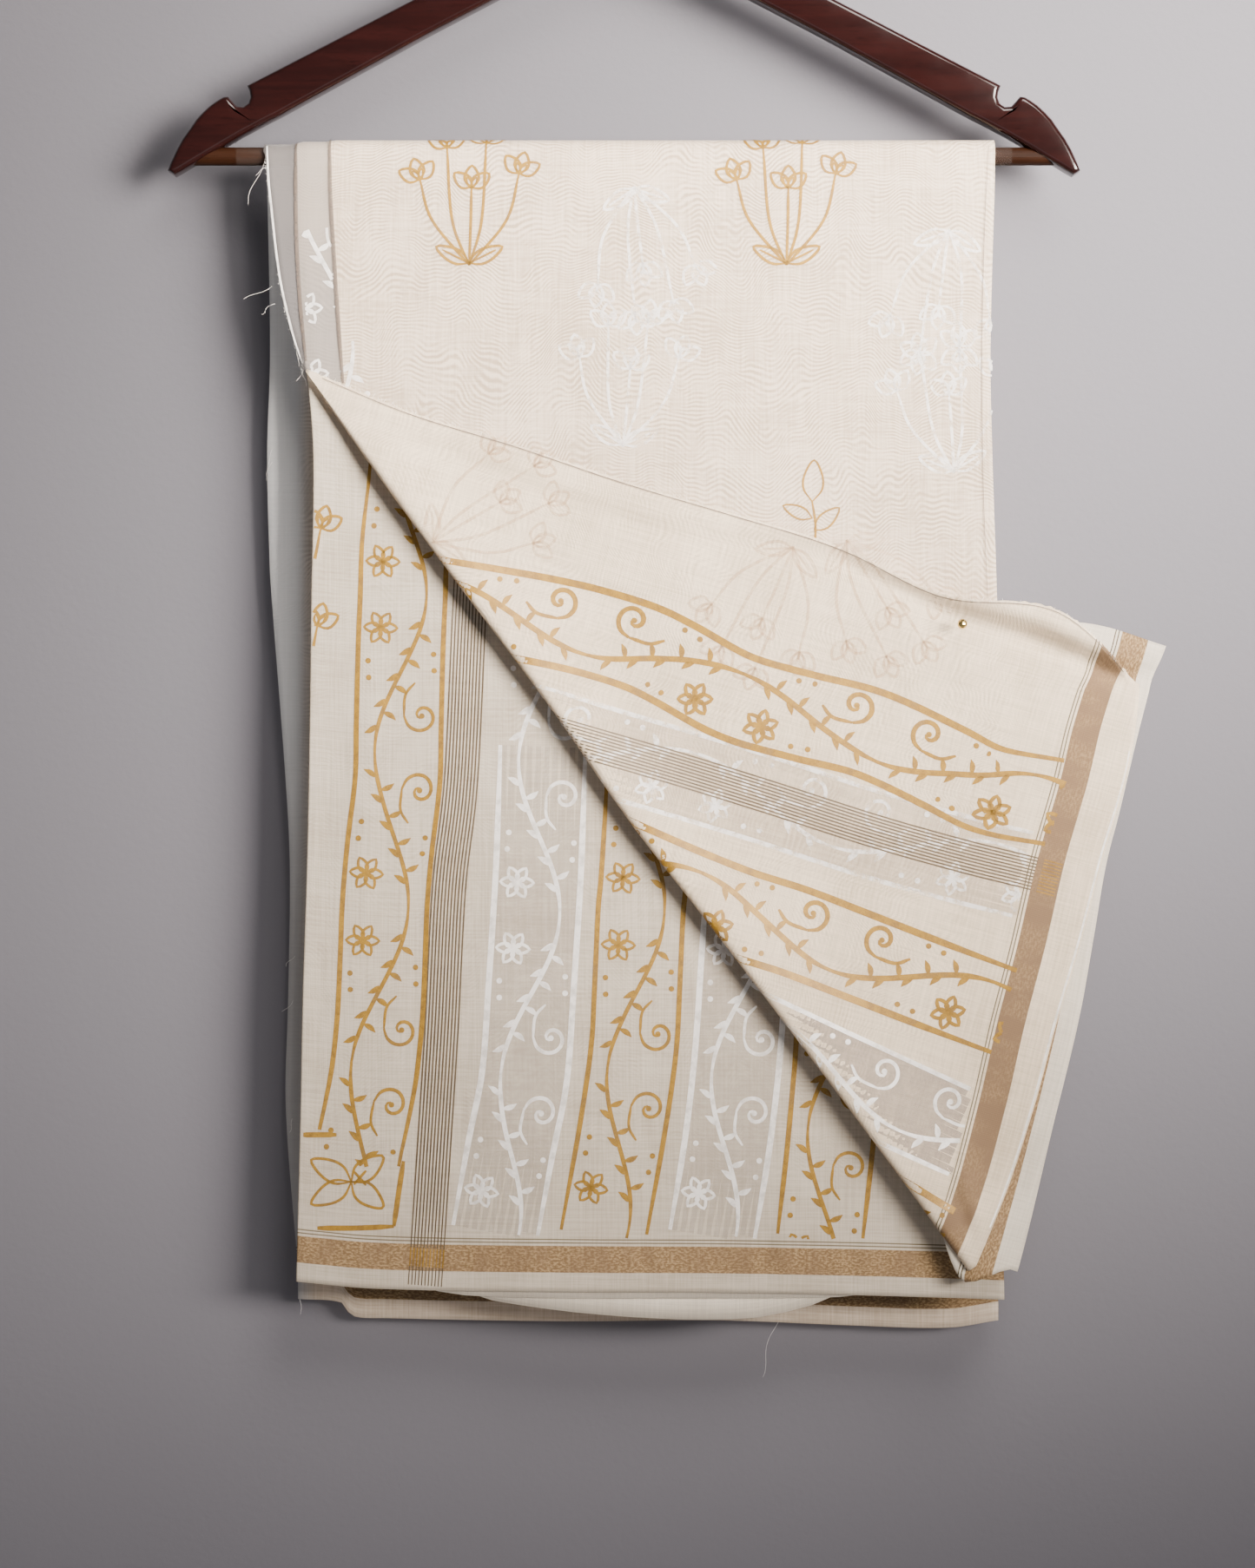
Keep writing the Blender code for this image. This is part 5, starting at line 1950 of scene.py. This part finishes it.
@dataclass(frozen=True)
class Threads:
    """Loose threads at the cut edges, and the short fibres along them."""

    top: TopSheet
    flap: TurnedFlap
    radius: float = 0.09
    seed: int = 41
    steps: int = 14
    flap_fibres: int = 230
    edge_fibres: int = 90
    strands: tuple[Strand, ...] = (
        Strand((304, 176), (293, 236), 3.0), Strand((306, 190), (291, 196), 1.2),
        Strand((313, 330), (286, 352), 2.2), Strand((316, 350), (301, 362), 1.4),
        Strand((346, 404), (340, 440), 2.4), Strand((349, 410), (353, 446), 2.0),
        Strand((345, 396), (334, 418), 2.6), Strand((309, 505), (294, 530), 1.6, True),
        Strand((308, 520), (300, 548), 1.2, True), Strand((334, 1100), (323, 1118), 1.4, True),
        Strand((332, 1150), (321, 1172), 1.8, True), Strand((331, 1290), (326, 1312), 0.8, True),
        Strand((345, 1496), (349, 1512), 0.8), Strand((905, 1520), (880, 1598), 3.2, True),
    )

    def strand_run(self, chance: random.Random, strand: Strand, depth: float) -> list[Vector]:
        """Give the wandering middle line of one thread."""
        first = Vector(from_photo(*strand.start))
        last = Vector(from_photo(*strand.end))
        aside = Vector((last.y - first.y, first.x - last.x)).normalized()
        turns = chance.uniform(1.0, 2.2)
        start = chance.uniform(0.0, math.tau)
        run = []
        for step in range(self.steps + 1):
            share = step / self.steps
            bend = math.sin(start + turns * math.pi * share) - math.sin(start)
            spot = first.lerp(last, share) + aside * strand.sway * bend * share
            run.append(DRAPE.place(spot.x, spot.y, depth + 2.0 * share * chance.uniform(0.2, 1.0)))
        return run

    def fibre_runs(self, chance: random.Random) -> list[list[Vector]]:
        """Give the short fibres along the flap's cut edge and the top sheet's."""
        runs = []
        for _ in range(self.flap_fibres):
            along = chance.uniform(0.01, 0.97)
            x, drop = self.flap.section(along, 0.004)
            length = chance.uniform(0.4, 1.3) ** 2
            lean = chance.uniform(-0.9, 0.9)
            runs.append([self.flap.point(x + share * lean * length,
                                         drop - share * length * 1.3, 0.1)
                         for share in (0.0, 0.5, 1.0)])
        for _ in range(self.edge_fibres):
            drop = chance.uniform(0.0, 104.0)
            x = RAW_LEFT.at(drop) + 0.4
            length = chance.uniform(0.4, 1.3) ** 2
            lean = chance.uniform(-0.9, 0.9)
            runs.append([self.top.point(x - share * length, drop + share * lean * length, 0.1)
                         for share in (0.0, 0.5, 1.0)])
        return runs

    def build(self, material: Material) -> None:
        """Build the threads as one piece."""
        chance = random.Random(self.seed)
        runs = []
        for strand in self.strands:
            x, drop = from_photo(*strand.start)
            if drop < 110.0:
                depth = DRAPE.layer(2, x, drop) - 2.0
            elif strand.on_back:
                depth = -DRAPE.layer(1, x, drop, Side.BACK) - 0.2
            else:
                depth = DRAPE.layer(0, x, drop) - 2.0
            runs.append(self.strand_run(chance, strand, depth))
        runs.extend(self.fibre_runs(chance))
        shape = tube_shape(runs, self.radius * MM, 0, 0.5)
        piece = make_piece("loose_threads", as_mesh("loose_threads", shape), material)


class WoodRow(NamedTuple):
    """One section of the hanger's right half: its top and underside, above the bar."""

    top_x: float
    top_rise: float
    under_x: float
    under_rise: float


@dataclass(frozen=True)
class Hanger:
    """The wooden hanger's body and its wire hook."""

    thickness: float = 12.0
    rounding: float = 2.6
    hook_radius: float = 1.8
    hook_inner: float = 20.0
    wire_foot: float = -104.7
    neck_top: float = -64.0
    bow_start: float = math.radians(-52.0)
    bow_end: float = math.radians(196.0)
    collar_foot: float = 4.4
    collar_top: float = 3.0
    collar_height: float = 4.0
    collar_place: float = -89.4
    sharp_angle: float = math.radians(38.0)
    sections: tuple[WoodRow, ...] = (
        WoodRow(0.0, 125.0, 0.0, 101.3), WoodRow(13.0, 121.0, 10.0, 100.6),
        WoodRow(30.0, 113.2, 22.0, 97.2), WoodRow(106.5, 73.5, 96.0, 58.5),
        WoodRow(183.2, 33.8, 166.0, 20.1), WoodRow(182.0, 31.0, 168.0, 19.0),
        WoodRow(181.6, 28.0, 170.0, 18.0), WoodRow(182.6, 25.2, 172.5, 16.8),
        WoodRow(185.0, 23.4, 175.5, 15.2), WoodRow(188.2, 23.6, 179.0, 13.4),
        WoodRow(190.2, 25.8, 181.5, 12.0), WoodRow(192.4, 28.4, 183.5, 11.0),
        WoodRow(194.8, 28.2, 186.6, 9.3), WoodRow(197.5, 26.6, 190.0, 7.3),
        WoodRow(201.0, 24.2, 194.0, 5.0), WoodRow(204.5, 21.0, 198.0, 2.6),
        WoodRow(208.0, 17.2, 202.0, 0.2), WoodRow(211.0, 12.8, 205.5, -1.9),
        WoodRow(214.5, 7.9, 209.0, -4.0), WoodRow(217.5, 2.5, 212.0, -5.8),
        WoodRow(220.0, -3.0, 215.6, -8.0), WoodRow(221.8, -7.4, 218.5, -9.6),
    )

    def build_body(self, material: Material) -> None:
        """Build the flat body with rounded edges."""
        shape = bmesh.new()
        half = self.thickness / 2.0
        for side in (-1, 1):
            for first, second in zip(self.sections, self.sections[1:]):
                corners = ((first.top_x, first.top_rise), (second.top_x, second.top_rise),
                           (second.under_x, second.under_rise), (first.under_x, first.under_rise))
                shape.faces.new([shape.verts.new(Vector(
                    (side * x, -half, rise - DRAPE.hook_to_bar)) * MM) for x, rise in corners])
        bmesh.ops.remove_doubles(shape, verts=shape.verts, dist=0.01 * MM)
        bmesh.ops.recalc_face_normals(shape, faces=shape.faces)
        raised = bmesh.ops.extrude_face_region(shape, geom=shape.faces[:])
        behind = [item for item in raised["geom"] if isinstance(item, BMVert)]
        bmesh.ops.translate(shape, verts=behind, vec=(0.0, self.thickness * MM, 0.0))
        rims = [edge for edge in shape.edges if edge.calc_face_angle(0.0) > 1.0
                and abs(edge.verts[0].co.y - edge.verts[1].co.y) < 0.01 * MM]
        bmesh.ops.bevel(shape, geom=rims, offset=self.rounding * MM, segments=5,
                        profile=0.5, affect="EDGES", material=-1)
        bmesh.ops.recalc_face_normals(shape, faces=shape.faces)
        mesh = as_mesh("hanger_wood", shape)
        piece = make_piece("hanger_wood", mesh, material)
        mesh.set_sharp_from_angle(angle=self.sharp_angle)
        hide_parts("hanger_body")

    def build_hook(self, material: Material) -> None:
        """Build the wire hook with its small collar."""
        middle = self.hook_inner + self.hook_radius
        join_x = middle * math.cos(self.bow_start)
        join_z = middle * math.sin(self.bow_start) - self.hook_inner
        route = [(0.0, self.wire_foot + (self.neck_top - self.wire_foot) * step / 6.0)
                 for step in range(7)]
        for step in range(1, 15):
            share = step / 14.0
            rise = self.neck_top + (join_z - self.neck_top) * share
            route.append((join_x * ease(share) ** 1.1, rise))
        for step in range(1, 49):
            angle = self.bow_start + (self.bow_end - self.bow_start) * step / 48.0
            route.append((middle * math.cos(angle), middle * math.sin(angle) - self.hook_inner))
        run = [Vector((x, 0.0, z)) * MM for x, z in route]
        shape = tube_shape([run], self.hook_radius * MM, 6, 0.55)
        bmesh.ops.remove_doubles(shape, verts=shape.verts, dist=0.001 * MM)
        collar = bmesh.ops.create_cone(shape, cap_ends=True, segments=32,
                                       radius1=self.collar_foot * MM,
                                       radius2=self.collar_top * MM,
                                       depth=self.collar_height * MM)
        bmesh.ops.translate(shape, verts=collar["verts"], vec=(0.0, 0.0, self.collar_place * MM))
        bmesh.ops.recalc_face_normals(shape, faces=shape.faces)
        mesh = as_mesh("hook_wire", shape)
        piece = make_piece("wire_hook", mesh, material)
        mesh.set_sharp_from_angle(angle=self.sharp_angle)
        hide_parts("hanger_hook")


class Studio:
    """The plain wall and floor, the soft lights and the camera."""

    LENS = 76.0
    DISTANCE = 1.6133
    ASIDE = 0.0017
    EYE_HEIGHT = -0.5218
    WALL_GAP = 0.03
    FLOOR = -1.2

    def build_plane(self, name: str, centre: Vector, size: Pair,
                    upright: bool) -> Object:
        """Build one flat part of the stage, facing the viewer or the ceiling."""
        shape = bmesh.new()
        bmesh.ops.create_grid(shape, x_segments=1, y_segments=1, size=0.5)
        bmesh.ops.scale(shape, verts=shape.verts, vec=(size[0], size[1], 1.0))
        if upright:
            for vert in shape.verts:
                vert.co = Vector((vert.co.x, 0.0, vert.co.y))
            bmesh.ops.recalc_face_normals(shape, faces=shape.faces)
            for face in shape.faces:
                if face.normal.y > 0.0:
                    face.normal_flip()
        bmesh.ops.translate(shape, verts=shape.verts, vec=centre)
        part = add_object(name, as_mesh(name, shape))
        return part

    def paint(self, name: str, low: Triple, high: Triple,
              one_sided: bool) -> Material:
        """Make plaster, seen from one side or both, whose colour runs from the low colour at the low
        right to the high colour at the high left; on the wall this is painted light and shade that set
        how bright each part of it looks under the lamps.
        """
        material, graph, shader = start_material(name, {"Roughness": 0.85})
        place = graph.place()
        across, _, up = graph.axes(place)
        rise = graph.minus(up, graph.times(across, 0.9))
        # Painted light and shade on the wall: its colour changes from low right to high left.
        graph.feed(shader, "Base Color", graph.mix(graph.step(rise, -0.6, 0.2), low, high))
        graph.bump(shader, 0.2, 0.0006, graph.noise(place, 260.0, 3.0, 0.6))
        if one_sided:
            behind = graph.math("MAXIMUM", graph.node("ShaderNodeNewGeometry").outputs["Backfacing"],
                                graph.node("ShaderNodeLightPath").outputs["Is Shadow Ray"])
            clear = graph.node("ShaderNodeBsdfTransparent")
            both = graph.node("ShaderNodeMixShader",
                              {0: behind, 1: shader.outputs[0], 2: clear.outputs[0]})
            graph.feed(graph.tree.nodes["Material Output"], "Surface", both.outputs[0])
        return material

    def build_stage(self) -> None:
        """Build the wall and the floor."""
        wall = self.build_plane("wall", Vector((0.0, self.WALL_GAP, -0.5)), (3.2, 2.4), True)
        # The wall is painted lighter at the low right and darker at the high left: painted light and
        # shade.
        wall.data.materials.append(self.paint("grey_plaster", (0.16, 0.156, 0.178),
                                              (0.073, 0.071, 0.083), True))
        floor = self.build_plane("floor", Vector((0.0, 0.0, self.FLOOR)), (6.0, 6.0), False)
        floor.data.materials.append(self.paint("pale_floor", (0.62, 0.61, 0.6),
                                               (0.62, 0.61, 0.6), False))

    def add_light(self, name: str, place: Vector, target: Vector, size: float, power: float,
                  colour: Triple, spread: float = 180.0) -> None:
        """Add a soft square light that faces a target."""
        lamp = bpy.data.lights.new(name, "AREA")
        lamp.size = size
        lamp.energy = power
        lamp.color = colour
        lamp.spread = math.radians(spread)
        holder = add_object(name, lamp)
        holder.location = place
        holder.rotation_euler = (target - place).to_track_quat("-Z", "Y").to_euler()

    def light(self) -> None:
        """Place the lights and the soft surround."""
        middle = Vector((0.0, 0.0, -0.45))
        self.add_light("window_light", Vector((1.05, -1.15, -0.05)), Vector((0.15, 0.0, 0.0)),
                       0.9, 26.0, (1.0, 0.92, 0.84), 52.0)
        self.add_light("ceiling_light", Vector((0.5, -1.3, 0.9)), Vector((0.1, 0.0, -0.2)),
                       0.8, 5.0, (1.0, 0.93, 0.86), 64.0)
        self.add_light("low_fill", Vector((-0.3, -1.6, -1.2)), middle, 1.6, 5.0,
                       (0.97, 0.97, 1.0))
        self.add_light("back_fill", Vector((0.35, 1.7, 0.15)), middle, 1.2, 4.5,
                       (1.0, 0.98, 0.96), 80.0)
        world = bpy.data.worlds.new("soft_surround")
        bpy.context.scene.world = world
        world.use_nodes = True
        world.node_tree.nodes["Background"].inputs["Color"].default_value = (0.93, 0.94, 1.0, 1.0)
        world.node_tree.nodes["Background"].inputs["Strength"].default_value = 0.15

    def place_camera(self) -> None:
        """Stand the camera square in front, as the picture was taken."""
        view = bpy.data.cameras.new("camera")
        view.lens = self.LENS
        view.sensor_width = 36.0
        holder = add_object("camera", view)
        holder.location = (self.ASIDE, -self.DISTANCE, self.EYE_HEIGHT)
        holder.rotation_euler = (math.radians(90.0), 0.0, 0.0)
        bpy.context.scene.camera = holder


def main() -> None:
    """Build every piece in order."""
    logging.basicConfig(level=logging.INFO, format="%(name)s: %(message)s")
    studio = Studio()
    studio.place_camera()
    studio.build_stage()
    studio.light()
    effects = Effects()
    # The top sheet takes the painted shade on its strips at the left.
    sheer = ClothFinish("sheer_cream_cloth", (0.96, 0.81, 0.65), (0.62, 0.495, 0.36), 0.54, 0.85,
                        strips=True)
    # The panel's cloth is the same sari as the top sheet, painted much darker: painted shade for the
    # lower, less lit panel.
    panel_cloth = ClothFinish("printed_cream_cloth", (0.6, 0.525, 0.425), (0.42, 0.35, 0.27),
                              0.9, 0.14)
    # The turned corner's metal border is made darker by a fixed share.
    flap_cloth = ClothFinish("flap_cream_cloth", (0.88, 0.735, 0.55), (0.6, 0.485, 0.345),
                             0.8, 0.3, border_darkening=0.6)
    under_cloth = ClothFinish("under_cream_cloth", (0.84, 0.76, 0.64), (0.66, 0.59, 0.48),
                              0.66, 0.1)
    pack_cloth = ClothFinish("inner_cream_cloth", (0.8, 0.72, 0.6), (0.62, 0.54, 0.44),
                             0.96, 0.1)
    inks = {finish.ink: finish.make() for finish in (
        InkFinish(Ink.GOLD, (0.4, 0.225, 0.022), (0.25, 0.125, 0.01), 0.45, 0.15, 0.97),
        InkFinish(Ink.WHITE, (0.99, 0.96, 0.93), (0.92, 0.88, 0.84), 0.35, 0.0, 0.8),
        InkFinish(Ink.PALE, (0.99, 0.96, 0.93), (0.94, 0.9, 0.86), 0.35, 0.0, 0.72, 0.7),
        InkFinish(Ink.FADED, (0.6, 0.4, 0.23), (0.5, 0.33, 0.19), 0.7, 0.0, 0.34, 0.2),
        InkFinish(Ink.THREAD, (0.16, 0.115, 0.065), (0.08, 0.055, 0.03), 0.5, 0.2, 1.0, 0.1),
        # Painted shade for fold edges and the flap's cut edge.
        InkFinish(Ink.FOLD, (0.2, 0.15, 0.12), (0.13, 0.098, 0.078), 0.8, 0.0, 0.85),
        InkFinish(Ink.FIELD, (0.38, 0.315, 0.275), (0.32, 0.265, 0.23), 0.8, 0.0, 0.5, 0.12),
        InkFinish(Ink.MIST, (0.46, 0.395, 0.34), (0.4, 0.34, 0.29), 0.8, 0.0, 0.24, 0.08),
    )}
    top = TopSheet()
    panel = PalluPanel()
    flap = TurnedFlap()
    PackFolds().build(pack_cloth.make(effects))
    log.info("folded pack built")
    panel.build(panel_cloth.make(effects))
    log.info("pallu panel built")
    top.build(sheer.make(effects))
    log.info("top sheet built")
    UnderFlap(flap).build(under_cloth.make(effects))
    flap.build(flap_cloth.make(effects))
    log.info("turned corner built")
    Prints(top, panel, flap, inks).build()
    Threads(top, flap).build(inks[Ink.WHITE])
    log.info("loose threads laid")
    hanger = Hanger()
    hanger.build_body(WoodFinish("dark_gloss_wood", (0.013, 0.003, 0.0026),
                                 (0.008, 0.002, 0.0018), 0.14, 0.2).make(effects))
    hanger.build_hook(MetalFinish("bright_steel", (0.78, 0.78, 0.8), 0.12).make())
    dress("trouser_bar", WoodFinish("brown_bar_wood", (0.022, 0.0075, 0.003),
                                    (0.011, 0.004, 0.0018), 0.42, 0.0, 0.08).make(effects))
    dress("bar_sleeve", PlasticFinish("clear_sleeve_plastic").make())
    dress("ball_pin", MetalFinish("pin_brass", (0.82, 0.62, 0.26), 0.16).make())
    log.info("hanger and pin dressed")


if __name__ == "__main__":
    main()
